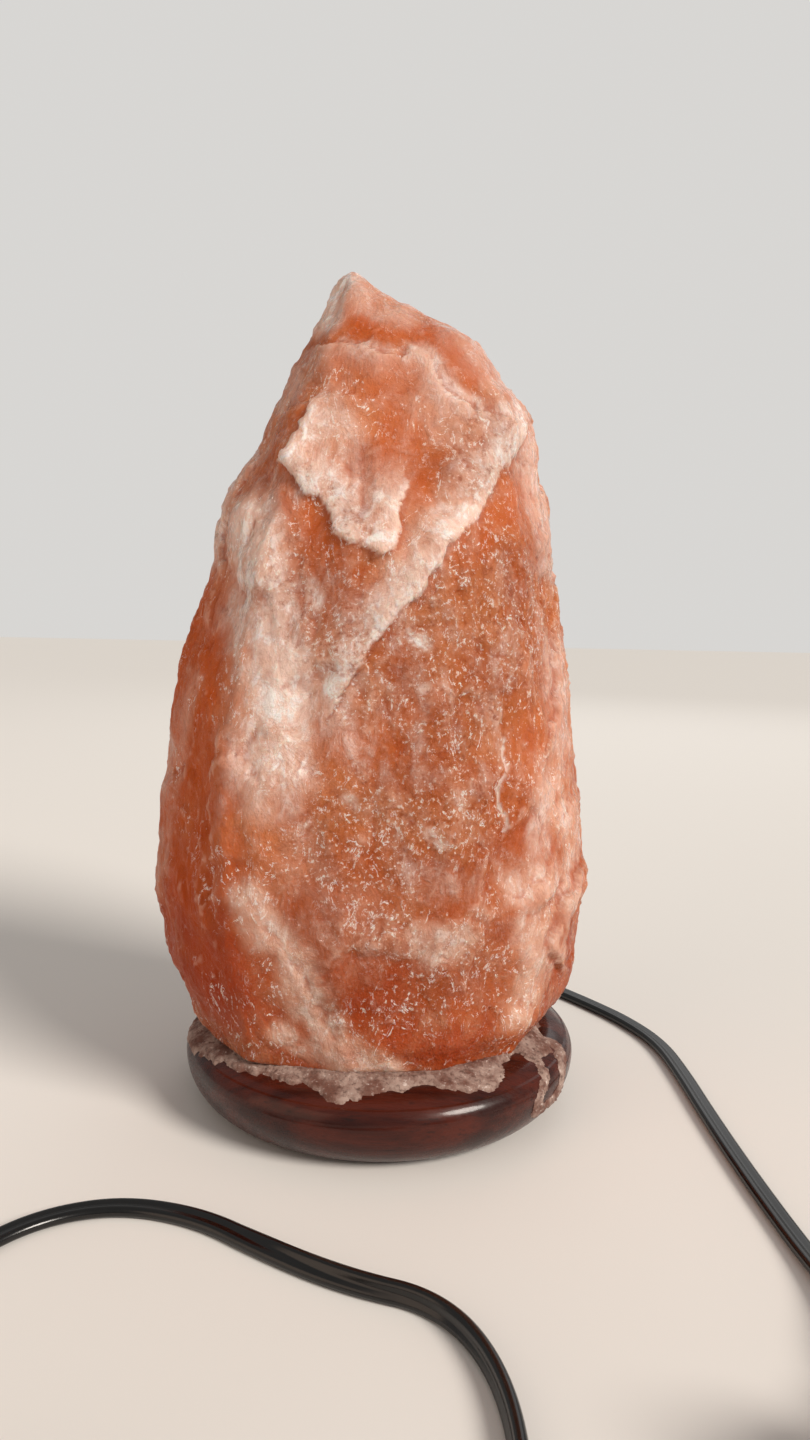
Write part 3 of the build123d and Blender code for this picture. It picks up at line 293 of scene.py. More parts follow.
# Rock salt. Shapes and tints on the front of the crystal are drawn as x across and z up.
leftPlate = [(-35, 219), (-30, 215), (-27, 210), (-22, 208), (-18, 203), (-15, 195), (-11, 191),
             (-3, 189), (3, 191), (4, 200), (2, 210), (-5, 216), (-9, 222), (-12, 232), (-17, 235),
             (-25, 233), (-29, 229)]
rightPlate = [(-12, 148), (-7, 157), (-1, 164), (5, 171), (11, 179), (17, 188), (20, 194),
              (26, 199), (30, 206), (33, 212), (38, 218), (42, 225), (44, 233), (36, 233),
              (29, 222), (23, 214), (18, 207), (12, 199), (10, 191), (6, 184), (2, 176),
              (-6, 167), (-14, 158)]
rock = {
    "voxel": 1.35, "quickVoxel": 1.6,           # the remesh, and how much coarser a quick one is
    "bore": (26.5, 142),                        # radius and top: nothing in it moves
    "footHold": (0.3, 2.5),                     # above the foot, where the surface starts to move
    "rounding": 9,                              # rounds of smoothing on the solid's facets
    "wander": {"size": 9, "octaves": 3, "shifts": (5.0, 21.0), "reach": 2.4},
    "facing": (-0.2, 0.1), "facingDepth": (20, 6), "flank": (0.45, 0.85),
    # relief; the last numbers are its height everywhere, and more of it where rough and on flanks
    "facets": [                                 # size, shift, stretch upwards, height
        (26, 2.0, 1.0, (0.34, 0, 0)),
        (13, 9.0, 1.8, (0.15, 0, 0.15)),
        (6, 4.0, 1.3, (0.22, 0.4, 0.2)),
    ],
    "facetShape": {"tilt": 1.6, "step": 0.7, "blend": 0.12, "height": 0.2, "mix": 7.3},
    "unevenness": [                             # size, octaves, shift, height
        (4.2, 3, 31.0, (0.16, 0.4, 0.12)),
        (34, 2, 14.0, (0.9, 0, 0)),
    ],
    "terraces": {"size": 15, "octaves": 3, "shift": 8.0, "stretch": 2.4, "levels": 4,
                 "riser": (0.7, 1.0), "height": (0.14, 0, 0.42)},
    "sunk": 0.3,                                # so that the relief stays about the solid's face
    # a cliff stands proud on the left of its way and dies away over its reach; the pale tint
    # starts at its edge and fades back from there
    "cliffs": [
        {"way": [(-29, 229)] + leftPlate[:10], "height": 1.5, "reach": 16, "pale": 1.0,
         "fade": 27},
        {"way": rightPlate[:13], "height": 1.5, "reach": 16, "pale": 1.0, "fade": 20},
        # the upper ledge: the pale tint along its rim is a painted highlight
        {"way": [(34, 236), (26, 237), (20, 240), (16, 245), (12, 252), (7, 257), (3, 253),
                 (-4, 255), (-9, 257), (-17, 258)],
         "height": 1.3, "reach": 13, "pale": 0.55, "fade": 14},
        {"way": [(60, 186), (56, 170), (58, 150), (54, 132)], "height": 1.6, "reach": 12},
        {"way": [(34, 118), (37, 124), (39, 132), (38, 138)], "height": 1.1, "reach": 8},
        {"way": [(31, 62), (33, 74), (26, 80), (13, 80), (5, 76)], "height": 1.0, "reach": 16},
        {"way": [(2, 27), (-7, 33), (-15, 40), (-20, 49), (-25, 60), (-31, 69), (-38, 77),
                 (-42, 84)], "height": 0.5, "reach": 12},
        {"way": [(62, 104), (55, 90), (47, 84), (36, 84)], "height": 0.8, "reach": 12},
        {"way": [(66, 80), (59, 73), (56, 64), (60, 54)], "height": 2.4, "reach": 10},
        {"way": [(-52, 128), (-55, 112), (-52, 98), (-54, 84)], "height": 1.5, "reach": 9},
        {"way": [(-58, 172), (-54, 186), (-56, 196), (-50, 206), (-46, 216)], "height": 1.6,
         "reach": 7},
    ],
    "ridge": {"way": [(-46, 200), (-40, 181), (-36, 163), (-34, 148), (-35, 132), (-33, 117),
                      (-35, 100), (-39, 84)], "height": 1.6, "width": 13},
    # broad swellings: across, up, radius, height
    "swells": [(-40, 258, 34, 2.6), (-18, 286, 16, 2.5), (24, 262, 20, 3.6), (46, 236, 20, 2.6),
               (-80, 84, 40, 2.4), (-60, 215, 26, 1.6)],
    "crack": {"way": [(38.5, 133), (37.4, 129), (38.8, 124), (36, 118), (36.2, 113),
                      (38.6, 109), (39, 105)], "width": 0.45, "strength": 0.8, "depth": 0.8},
    "crest": {"rounds": 8, "height": 0.5},      # painted highlight on crests and painted shade in hollows: how far round it a crest is judged, and its size
    # filled outlines of tint: outline, how soft its edge is, strength
    "palePlates": [
        (leftPlate, 6.0, 0.6), (rightPlate, 5.0, 0.34),
        ([(6, 76), (13, 80), (21, 78), (29, 76), (31, 70), (25, 64), (16, 62), (10, 66)],
         3.5, 0.75),
        ([(-60, 168), (-44, 205), (-34, 200), (-30, 178), (-34, 160), (-48, 152)], 10, 0.8),
        ([(-24, 184), (-32, 150), (-26, 128), (-40, 118), (-46, 160), (-40, 186)], 8, 0.9),
        ([(34, 92), (52, 96), (64, 88), (58, 78), (38, 80)], 6, 0.6),
        ([(42, 50), (52, 60), (62, 56), (54, 42)], 6, 0.7),
    ],
    # strokes of tint: way, half width, strength
    "pale": [
        ([(40, 229), (33, 217), (27, 207), (20, 197), (13, 187)], 4, 0.7),
        ([(-12, 150), (-16, 142), (-24, 140)], 7, 0.5),
        # these two: painted highlight along the upper ledge's rim
        ([(8, 255), (15, 248), (20, 241), (27, 237), (33, 230)], 3.4, 0.7),
        ([(-16, 259), (-4, 256), (4, 254)], 1.6, 0.5),
        ([(-14, 286), (-19, 277), (-22, 268)], 5, 0.95),
        ([(-50, 226), (-56, 206), (-60, 190)], 7, 0.7),
        ([(-74, 128), (-76, 112)], 5, 0.6), ([(-78, 92), (-78, 74)], 4, 0.5),
        ([(-43, 198), (-40, 181), (-36, 163), (-33, 148), (-34, 132), (-34, 122)], 12, 0.85),
        ([(-29, 156), (-30, 126)], 8, 1.0),
        ([(-40, 82), (-36, 74), (-29, 67), (-24, 56), (-21, 48), (-13, 37), (-2, 27)], 7, 0.8),
        ([(-30, 37), (-12, 31), (5, 28)], 5, 0.8), ([(50, 74), (55, 60), (48, 44)], 8, 0.7),
        ([(-12, 277), (2, 270)], 8, 0.4), ([(20, 262), (34, 252), (44, 240)], 8, 0.45),
        ([(47, 232), (55, 214), (59, 192)], 9, 0.55),
        ([(57, 160), (60, 131), (54, 113), (52, 97)], 6, 0.5),
        ([(62, 106), (66, 92), (62, 76)], 5, 0.6),
        ([(10, 166), (12, 163)], 2.2, 1.0), ([(13, 151), (14, 149)], 1.6, 0.9),
        ([(14, 106), (19, 103)], 2, 0.8), ([(-9, 117), (-8, 114)], 1.8, 0.7),
        ([(-24, 180), (-21, 176)], 3, 0.7),
        ([(-64, 150), (-68, 130), (-70, 110)], 4, 0.45), ([(-70, 104), (-72, 84)], 3, 0.4),
        ([(8, 238), (18, 228), (28, 224)], 5, 0.3), ([(-30, 250), (-36, 238)], 3, 0.35),
        ([(-24, 96), (-10, 84), (2, 72)], 8, 0.25),
    ],
    # deep orange, with painted shade and painted shadows among its strokes
    "deep": [
        # the left flank: painted shade, with the deeper orange of light shining through it painted
        # in
        ([(-60, 172), (-64, 150), (-66, 130), (-65, 110), (-63, 96), (-61, 80), (-57, 63),
          (-52, 50)], 15, 1.0),
        ([(-76, 96), (-74, 70), (-66, 46)], 9, 0.8),
        # painted shadows under the crisp lower edges of the left and right plates
        ([(-28, 202), (-20, 194), (-27, 184)], 7, 0.6),
        ([(40, 212), (32, 200), (26, 190)], 6, 0.5),
        # painted shade in the band under the tip, above the upper ledge
        ([(-10, 264), (6, 262), (16, 257), (27, 249)], 4.5, 0.6),
        ([(-16, 247), (2, 244), (6, 228), (2, 222), (8, 212)], 8, 0.4),
        ([(-8, 98), (-16, 92), (-8, 84)], 9, 0.4), ([(38, 118), (40, 106)], 8, 0.5),
        ([(6, 58), (-2, 48), (8, 38), (22, 34)], 8, 0.5),
        ([(-46, 48), (-36, 38), (-22, 34)], 8, 0.5),
        ([(-48, 100), (-44, 84), (-34, 60)], 6, 0.5), ([(46, 178), (44, 150), (46, 120)], 7, 0.3),
    ],
    "rough": [
        ([(-20, 178), (0, 150), (20, 170), (40, 180), (34, 150), (10, 120), (-10, 100),
          (30, 110)], 18, 1.0),
        ([(-16, 86), (0, 78), (28, 66), (-10, 52)], 12, 0.7),
        ([(30, 232), (22, 216), (34, 222)], 9, 0.8), ([(-26, 214), (-16, 206), (-8, 196)], 6, 0.6),
    ],
    # the sides and back: size, octaves, shift, stretch, from and to on the noise, strength
    "sides": {"rough": (38, 2, 3.0, 1.0, 0.0, 0.25, 0.8),
              "pale": (26, 3, 17.0, 1.8, -0.1, 0.5, 0.75),
              "deep": (34, 2, 41.0, 2.0, 0.0, 0.4, 0.8)},
    "damp": (120, 34, 6),                       # painted shade, darker towards the foot: heights where it ends and is full; its wander
    "shader": {"IOR": 1.54, "Subsurface Weight": 0.28, "Subsurface Scale": 0.0025,
               "Subsurface Radius": (1.0, 0.5, 0.25), "Coat Roughness": 0.12, "Coat IOR": 1.6,
               "Specular IOR Level": 0.15},
    # noises: size, detail, roughness, distortion, stretch upwards
    "patterns": {"clouds": (26, 4, 0.55, 0, 1), "veils": (14, 9, 0.66, 0.6, 1.5),
                 "frost": (6, 9, 0.74, 0.5, 1.4), "grain": (2.6, 5, 0.72, 0, 1),
                 "specks": (1.3, 3, 0.7, 0, 1), "wet": (3.4, 2, 0.55, 0.9, 1),
                 "wisps": (8, 6, 0.65, 1.3, 2.0)},
    "ground": "#b75c2b",
    "tints": [
        ("clouds", (0.38, 0.62, 0, 1), "#c87443"),
        # deep orange, partly painted shade
        ("deepShare", None, "#c05008"),
        ("haze", None, "#f4d6c8"),
        ("frosty", None, "#fff7f4"),
        # painted shade: darker towards the foot
        ("damp", None, "#d8b08a", "MULTIPLY"),
        # painted highlight on crests and painted shade in hollows of the relief
        ("crest", (0.2, 1.0, 0, 0.3), "#f0c6b0"),
        ("crest", (-0.1, -0.9, 0, 0.45), "#ad4613"),
        # white threads, partly painted glints
        ("threads", None, "#fffaf6"),
        # painted sparkles
        ("crumbs", None, "#fff4ec"),
        # painted shade in the grain's hollows
        ("pits", None, "#a0420f"),
        ("split", None, "#fbe6da"),
    ],
    # bumps: the pattern, what they lie on, strength, height in mm
    "bumps": {"coarse": ("veils", None, 0.9, 3.4), "fine": ("frost", "coarse", "fineBump", 4),
              "finest": ("grain", "fine", 0.6, 1), "skin": ("wet", "coarse", 1.0, 10)},
}


def signedDistance(across, up, way):
    # distance from a line of points, positive on the left of its way
    best = np.full(len(across), 1e9)
    sign = np.ones(len(across))
    for (x0, z0), (x1, z1) in zip(way, way[1:]):
        dx, dz = x1 - x0, z1 - z0
        t = np.clip(((across - x0) * dx + (up - z0) * dz) / (dx * dx + dz * dz), 0, 1)
        gap = np.hypot(across - x0 - t * dx, up - z0 - t * dz)
        left = np.where(dx * (up - z0) - dz * (across - x0) >= 0, 1.0, -1.0)
        nearer = gap < best - 1e-6
        best, sign = np.where(nearer, gap, best), np.where(nearer, left, sign)
    return best * sign


def insideOutline(across, up, outline):
    # depth inside a closed outline, negative outside it
    crossings = np.zeros(len(across), int)
    for (x0, z0), (x1, z1) in zip(outline, outline[1:] + outline[:1]):
        level = (z0 > up) != (z1 > up)
        at = x0 + (up - z0) / (z1 - z0 if z1 != z0 else 1e-9) * (x1 - x0)
        crossings += level & (across < at)
    gap = np.abs(signedDistance(across, up, outline + outline[:1]))
    return np.where(crossings % 2 == 1, gap, -gap)


def noiseAt(places, size, octaves, shift, stretch=1.0):
    offset = Vector((shift, shift * 0.7, -shift))
    scaled = places / np.array([size, size, size * stretch])
    return np.array([noise.fractal(Vector(p) + offset, 1.0, 2.0, octaves) for p in scaled])


def facetsAt(places, size, shift, stretch):
    # a broken face: each cell is a small flat tilted its own way, with a step to the next
    shape = rock["facetShape"]
    offset = np.array([shift, -shift, shift * 0.3])
    scaled = places / np.array([size, size, size * stretch]) + offset
    height = np.zeros(len(places))
    for i, p in enumerate(scaled):
        distances, centres = noise.voronoi(Vector(p))
        flats = []
        for centre in centres[:2]:
            tilt = noise.cell_vector(centre * shape["mix"]) - Vector((0.5, 0.5, 0.5))
            flats.append((Vector(p) - centre).dot(tilt) * shape["tilt"] + tilt.z * shape["step"])
        share = min(1, (distances[1] - distances[0]) / shape["blend"]) * 0.5 + 0.5
        height[i] = flats[0] * share + flats[1] * (1 - share)
    return height * size * shape["height"]


def terracesAt(places):
    # how far the nearest tread stands from an even slope
    look = rock["terraces"]
    slope = look["levels"] * noiseAt(places, look["size"], look["octaves"], look["shift"],
                                     look["stretch"])
    tread = np.floor(slope)
    return tread + smoothStep(*look["riser"], slope - tread) - slope


def rockMesh():
    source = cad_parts["salt_crystal"].data.copy()
    build = bmesh.new()
    build.from_mesh(source)
    bmesh.ops.remove_doubles(build, verts=build.verts, dist=1e-5)
    build.to_mesh(source)
    build.free()
    holder = bpy.data.objects.new("rockSource", source)
    bpy.context.scene.collection.objects.link(holder)
    remesh = holder.modifiers.new("grain", "REMESH")
    remesh.mode = "VOXEL"
    remesh.voxel_size = rock["voxel"] * mm * 1
    graph = bpy.context.evaluated_depsgraph_get()
    mesh = bpy.data.meshes.new_from_object(holder.evaluated_get(graph))
    bpy.data.objects.remove(holder)
    return mesh


def neighboursOf(mesh, count):
    edges = np.zeros(len(mesh.edges) * 2, int)
    mesh.edges.foreach_get("vertices", edges)
    a, b = edges[0::2], edges[1::2]
    return a, b, np.bincount(a, minlength=count) + np.bincount(b, minlength=count)


def smoothed(values, neighbours, rounds, free=0.6):
    a, b, count = neighbours
    shape = (-1,) + (1,) * (values.ndim - 1)
    for _ in range(rounds):
        total = np.zeros_like(values)
        np.add.at(total, a, values[b])
        np.add.at(total, b, values[a])
        values = values + (total / count.reshape(shape) - values) * free
    return values


def placeVertices(mesh, places):
    # moves them there and gives back their normals
    mesh.vertices.foreach_set("co", (places * mm).ravel())
    mesh.update()
    normals = np.zeros(len(places) * 3)
    mesh.vertex_normals.foreach_get("vector", normals)
    return normals.reshape(-1, 3)


def strokesAt(strokes, across, up):
    value = np.zeros(len(across))
    for way, halfWidth, strength in strokes:
        gap = np.abs(signedDistance(across, up, way))
        edge = 1 - smoothStep(halfWidth * 0.3, halfWidth * 1.6, gap)
        value = np.maximum(value, strength * edge)
    return value


def shapeRock():
    # the solid's own form, rounded a little, then broken up; its tints go along as attributes
    mesh = rockMesh()
    places = np.zeros(len(mesh.vertices) * 3)
    mesh.vertices.foreach_get("co", places)
    places = places.reshape(-1, 3) / mm
    neighbours = neighboursOf(mesh, len(places))
    foot, top = (corner.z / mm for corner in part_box("salt_crystal"))
    boreRadius, boreTop = rock["bore"]
    inBore = (np.hypot(places[:, 0], places[:, 1]) < boreRadius) & (places[:, 2] < boreTop)
    held, loose = (foot + height for height in rock["footHold"])
    hold = np.maximum(inBore, 1 - smoothStep(held, loose, places[:, 2]))
    places = smoothed(places, neighbours, rock["rounding"], 0.6 * (1 - hold)[:, None])
    normals = placeVertices(mesh, places)

    wander = rock["wander"]
    wandered = wander["reach"] * np.stack([
        noiseAt(places, wander["size"], wander["octaves"], shift) for shift in wander["shifts"]], 1)
    across, up = places[:, 0] + wandered[:, 0], places[:, 2] + wandered[:, 1]
    front = smoothStep(*rock["facing"], -normals[:, 1])
    front = front * smoothStep(*rock["facingDepth"], places[:, 1])
    flank = smoothStep(*rock["flank"], np.abs(normals[:, 0]))

    def onSides(name):
        size, octaves, shift, stretch, low, high, strength = rock["sides"][name]
        drifts = smoothStep(low, high, noiseAt(places, size, octaves, shift, stretch))
        return (1 - front) * drifts * strength

    def heightAt(everywhere, ifRough, onFlanks):
        return everywhere + ifRough * rough + onFlanks * flank

    rough = np.maximum(strokesAt(rock["rough"], across, up) * front, onSides("rough"))
    lift = heightAt(*rock["terraces"]["height"]) * terracesAt(places)
    for size, shift, stretch, height in rock["facets"]:
        lift += facetsAt(places, size, shift, stretch) * heightAt(*height)
    for size, octaves, shift, height in rock["unevenness"]:
        lift += noiseAt(places, size, octaves, shift) * heightAt(*height)
    for cliff in rock["cliffs"]:
        gap = signedDistance(across, up, cliff["way"])
        raised = smoothStep(-0.5, 0.6, gap) * (1 - smoothStep(0.15, 1, gap / cliff["reach"]))
        lift += cliff["height"] * raised * front
    ridge = rock["ridge"]
    gap = np.abs(signedDistance(across, up, ridge["way"]))
    lift += ridge["height"] * (1 - smoothStep(0, ridge["width"], gap)) * front
    for x, z, radius, height in rock["swells"]:
        gap = np.hypot(places[:, 0] - x, places[:, 2] - z)
        lift += height * (1 - smoothStep(0, radius, gap))
    crack = rock["crack"]
    gap = np.abs(signedDistance(places[:, 0] + 0.3 * wandered[:, 0], places[:, 2], crack["way"]))
    split = 1 - smoothStep(crack["width"] * 0.6, crack["width"] * 1.8, gap)
    split = split * front * crack["strength"]
    lift = (lift - rock["sunk"] - crack["depth"] * split) * (1 - hold)
    # crests and hollows of the relief, for painted highlight and painted shade
    around = smoothed(lift, neighbours, rock["crest"]["rounds"])
    crest = np.clip((lift - around) / rock["crest"]["height"], -1, 1)
    places = places + normals * lift[:, None]
    places[:, 2] = np.clip(places[:, 2], foot, top)
    placeVertices(mesh, places)

    pale = strokesAt(rock["pale"], across, up)
    for outline, softness, strength in rock["palePlates"]:
        depth = insideOutline(across, up, outline)
        pale = np.maximum(pale, strength * smoothStep(-softness * 0.6, softness, depth))
    for cliff in rock["cliffs"]:
        if "pale" in cliff:
            gap = signedDistance(across, up, cliff["way"])
            fading = smoothStep(-0.5, 0.5, gap) * (1 - smoothStep(0.05, 1, gap / cliff["fade"]))
            pale = np.maximum(pale, cliff["pale"] * fading)
    pale = np.maximum(pale * front, onSides("pale"))
    # deep orange, with painted shade and painted shadows
    deep = strokesAt(rock["deep"], across, up) * front * (1 - 0.8 * pale)
    deep = np.maximum(deep, onSides("deep"))
    # painted shade: the colour darkens towards the foot
    shadeEnds, wet, uneven = rock["damp"]
    damp = smoothStep(shadeEnds, wet, places[:, 2] + uneven * wandered[:, 1]) * (1 - 0.7 * pale)
    masks = {"pale": pale, "deep": deep, "rough": rough, "crest": crest, "split": split,
             "damp": damp}
    for name, value in masks.items():
        attribute = mesh.attributes.new(name, "FLOAT", "POINT")
        attribute.data.foreach_set("value", value.astype(np.float32))
    return mesh, masks


# What each share of tint is made of: its name, the node and its setting, and what goes in,
# numbers or the names of patterns, masks and earlier shares.
rockShares = [
    # wisps: thin bright lines where the noise crosses its middle value; cut short below, they are
    # partly painted glints
    ("offMiddle", "Math", "SUBTRACT", ("wisps", 0.5)),
    ("offMiddle", "Math", "ABSOLUTE", ("offMiddle",)),
    ("threads", "MapRange", "SMOOTHSTEP", ("offMiddle", 0.018, 0.0, 0, 1)),
    # a milky haze in drifts, thick on the pale parts and broken up by frosty grain
    ("drift", "MapRange", "SMOOTHSTEP", ("veils", 0.4, 0.68, 0, 1)),
    ("driftGrain", "MapRange", "SMOOTHSTEP", ("frost", 0.36, 0.62, 0.25, 1)),
    ("drift", "Math", "MULTIPLY", ("drift", "driftGrain")),
    ("drift", "Math", "MULTIPLY", ("drift", 0.42)),
    ("frostPart", "Math", "MULTIPLY", ("frost", 0.8)),
    ("milk", "Math", "MULTIPLY_ADD", ("veils", 0.8, "frostPart")),
    ("milk", "MapRange", "SMOOTHSTEP", ("milk", 0.56, 0.9, 0.4, 1)),
    ("milk", "Math", "MULTIPLY", ("pale", "milk")),
    ("haze", "Math", "MAXIMUM", ("drift", "milk")),
    # the deep-orange parts, painted shade among them, are clear, with no haze or glinting skin
    ("clear", "Math", "MULTIPLY_ADD", ("deep", -0.95, 1)),
    ("haze", "Math", "MULTIPLY", ("haze", "clear")),
    ("deepShare", "MapRange", "SMOOTHSTEP", ("veils", 0.35, 0.7, 1, 0.6)),
    ("deepShare", "Math", "MULTIPLY", ("deep", "deepShare")),
    ("hazeTwice", "Math", "MULTIPLY", ("haze", "haze")),
    ("frosty", "MapRange", "SMOOTHSTEP", ("frost", 0.48, 0.62, 0, 1)),
    ("frosty", "Math", "MULTIPLY", ("frosty", "hazeTwice")),
    # threads, painted sparkles and the pits' painted shade gather where the rock is rough
    ("gathered", "Math", "MULTIPLY_ADD", ("rough", 0.12, "clouds")),
    ("gathered", "MapRange", "SMOOTHSTEP", ("gathered", 0.42, 0.62, 0.12, 1)),
    ("threadGrain", "MapRange", "SMOOTHSTEP", ("grain", 0.48, 0.56, 0, 0.95)),
    ("threads", "Math", "MULTIPLY", ("threads", "threadGrain")),
    ("threads", "Math", "MULTIPLY", ("threads", "gathered")),
    # painted sparkles in fine specks
    ("crumbs", "MapRange", "SMOOTHSTEP", ("specks", 0.58, 0.66, 0, 1)),
    ("crumbs", "Math", "MULTIPLY", ("crumbs", "gathered")),
    ("sparkleMost", "Math", "MULTIPLY_ADD", ("rough", 0.5, 0.07)),
    ("crumbs", "Math", "MULTIPLY", ("crumbs", "sparkleMost")),
    # painted shade where the fine grain's bump is lowest
    ("pits", "MapRange", "SMOOTHSTEP", ("grain", 0.48, 0.32, 0, 0.85)),
    ("pitShadeMost", "Math", "MULTIPLY_ADD", ("rough", 0.65, 0.12)),
    ("pits", "Math", "MULTIPLY", ("pits", "pitShadeMost")),
    # gloss and relief
    ("dullness", "MapRange", "SMOOTHSTEP", ("grain", 0.3, 0.7, 0.4, 0.65)),
    ("skinShare", "MapRange", "SMOOTHSTEP", ("frost", 0.42, 0.56, 0.08, 0.8)),
    ("skinShare", "Math", "MULTIPLY", ("skinShare", "clear")),
    ("fineBump", "Math", "MULTIPLY_ADD", ("rough", 0.5, 0.4)),
]


def rockMaterial(masks):
    # halite, hewn by hand: waxy and translucent, iron-tinted orange with milky veils, and
    # grainy where it broke along its cubic cleavage, so it glints in small flat faces
    # the colour also holds painted light: glints, sparkles, highlights on crests and a ledge's rim,
    # and shade in hollows, under edges, down the left flank and towards the foot
    material, tree, shader, coords = newMaterial("hewnRockSalt", rock["shader"])
    made = {name: addNode(tree, "Attribute", {"attribute_name": name}, {}, "Fac")
            for name in masks}
    for name, (size, detail, roughness, distortion, stretch) in rock["patterns"].items():
        spread = addNode(tree, "Mapping", {}, {"Vector": coords, "Scale": (1, 1, 1 / stretch)})
        made[name] = addNode(tree, "TexNoise", {}, {
            "Vector": spread, "Scale": perMm(size), "Detail": detail, "Roughness": roughness,
            "Distortion": distortion})
    settingOf = {"Math": "operation", "MapRange": "interpolation_type"}
    for name, kind, setting, inputs in rockShares:
        made[name] = addNode(tree, kind, {settingOf[kind]: setting},
                             [made.get(value, value) for value in inputs])
    layTints(tree, shader, toLinear(rock["ground"]),
             [(made[name], *rest) for name, *rest in rock["tints"]])
    for name, (pattern, under, strength, height) in rock["bumps"].items():
        values = {"Height": made[pattern], "Strength": made.get(strength, strength),
                  "Distance": height * mm}
        if under:
            values["Normal"] = made[under]
        made[name] = addNode(tree, "Bump", {}, values)
    # the wet-looking skin glints in short curved strokes
    for name, socket in (("dullness", "Roughness"), ("finest", "Normal"),
                         ("skinShare", "Coat Weight"), ("skin", "Coat Normal")):
        tree.links.new(made[name], shader.inputs[socket])
    return material


rockSurface, rockMasks = shapeRock()
crystal = newPiece("rockSaltCrystal", rockSurface, "lamp_body", rockMaterial(rockMasks))
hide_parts("salt_crystal")
print("crystal ready:", sum(len(p.vertices) - 2 for p in crystal.data.polygons), "triangles")

# The wooden base keeps its turned solid.
wood = {
    "shader": {"IOR": 1.4, "Coat Weight": 0.3, "Coat Roughness": 0.12,
               "Specular IOR Level": 0.25},
    "dark": "#2a0c07", "light": "#4d1c10", "pore": "#160503",
    "bandSize": 7, "poreSize": 1.1, "alongGrain": 0.09,
}


def woodMaterial():
    # sheesham or similar, turned and lacquered: dark red-brown, straight grain, deep gloss
    material, tree, shader, coords = newMaterial("lacqueredDarkWood", wood["shader"])
    along = addNode(tree, "Mapping", {},
                    {"Vector": coords, "Scale": (wood["alongGrain"], 1.0, 1.0)})
    bands, pores = (
        addNode(tree, "TexNoise", {}, {"Vector": along, "Scale": perMm(size), "Detail": detail,
                                       "Roughness": roughness})
        for size, detail, roughness in ((wood["bandSize"], 5, 0.6), (wood["poreSize"], 3, 0.7)))
    layTints(tree, shader, toLinear(wood["dark"]), [
        (bands, (0.35, 0.68, 0, 1), wood["light"]), (pores, (0.56, 0.7, 0, 0.6), wood["pore"])])
    gloss = addNode(tree, "MapRange", {"interpolation_type": "SMOOTHSTEP"},
                    (pores, 0.4, 0.75, 0.26, 0.45))
    tree.links.new(gloss, shader.inputs["Roughness"])
    bump = addNode(tree, "Bump", {}, {"Strength": 0.12, "Distance": 0.3 * mm, "Height": pores})
    tree.links.new(bump, shader.inputs["Normal"])
    return material


paint("wood_base", woodMaterial())

# Dried salt lies on the base round the rock's foot.
crust = {
    "from": 47, "to": 36, "step": 0.8, "anglePoints": 420, "thick": 1.1, "sunk": 0.5,
    "sectionAbove": 8, "sectionMiddle": (46, 10), "baseRadius": 68, "patternRadius": 50,
    "ragged": {"size": 5, "octaves": 4, "shift": 12.0, "reach": 1.3},
    "lumps": {"size": 2.4, "octaves": 3, "shift": 44.0, "height": 0.45},
    "edgeSlope": 1.6, "dripSlope": 1.2,         # over how far the crust thins out to nothing
    "bank": {"out": (14, 8), "height": 1.5},    # against the rock
    # its outer edge: angle round the base from the right, way out along the base's section
    "edge": [(-180, 20.5), (-168, 25), (-156, 22.5), (-147, 20), (-141, 17.8), (-130, 16),
             (-125, 16), (-112, 14.6), (-105.6, 16.4), (-103, 19), (-94.6, 18.2), (-93.5, 15),
             (-81, 13.2), (-76.6, 10.4), (-68, 15.4), (-57, 19.2), (-50.5, 17.4), (-44, 10.5),
             (-38, 9.5), (-34, 12), (-26, 16), (-20, 15.2), (-14.5, 11), (0, 9), (30, 12),
             (60, 10), (100, 14), (140, 12), (165, 18), (180, 20.5)],
    # runs of salt that went down over the shoulder: angle and way out, and the half width
    "drips": [([(-33.4, 12), (-32.6, 17), (-36.5, 24), (-40.5, 27), (-41.5, 33)], 2.0),
              ([(-21, 12), (-18.5, 19), (-26, 25), (-28, 31), (-34, 34), (-41, 33)], 2.2),
              ([(-33, 15), (-24, 15)], 2.6)],
    # the hollow tint is painted shade in the grain's hollows
    "stained": "#6b463a", "chalky": "#a38b80", "hollowShade": "#4a2f26", "grain": "#ddd0c8",
    "patchSize": 9, "grainSize": 1.6, "roughness": 0.85,
}


def baseSection():
    # the outside of the wooden base from its top outwards and down, as distance out and height
    corners = np.array([v.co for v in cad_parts["wood_base"].data.vertices]) / mm
    section = np.stack([np.hypot(corners[:, 0], corners[:, 1]), corners[:, 2]], 1)
    section = section[(section[:, 0] > crust["from"]) & (section[:, 1] > crust["sectionAbove"])]
    section = np.unique(np.round(section, 2), axis=0)
    out, high = crust["sectionMiddle"]
    section = section[np.argsort(np.arctan2(section[:, 0] - out, section[:, 1] - high))]
    section = np.concatenate([[(crust["from"], section[0, 1])], section])
    gone = np.concatenate([[0], np.cumsum(np.linalg.norm(np.diff(section, axis=0), axis=1))])
    return section, gone


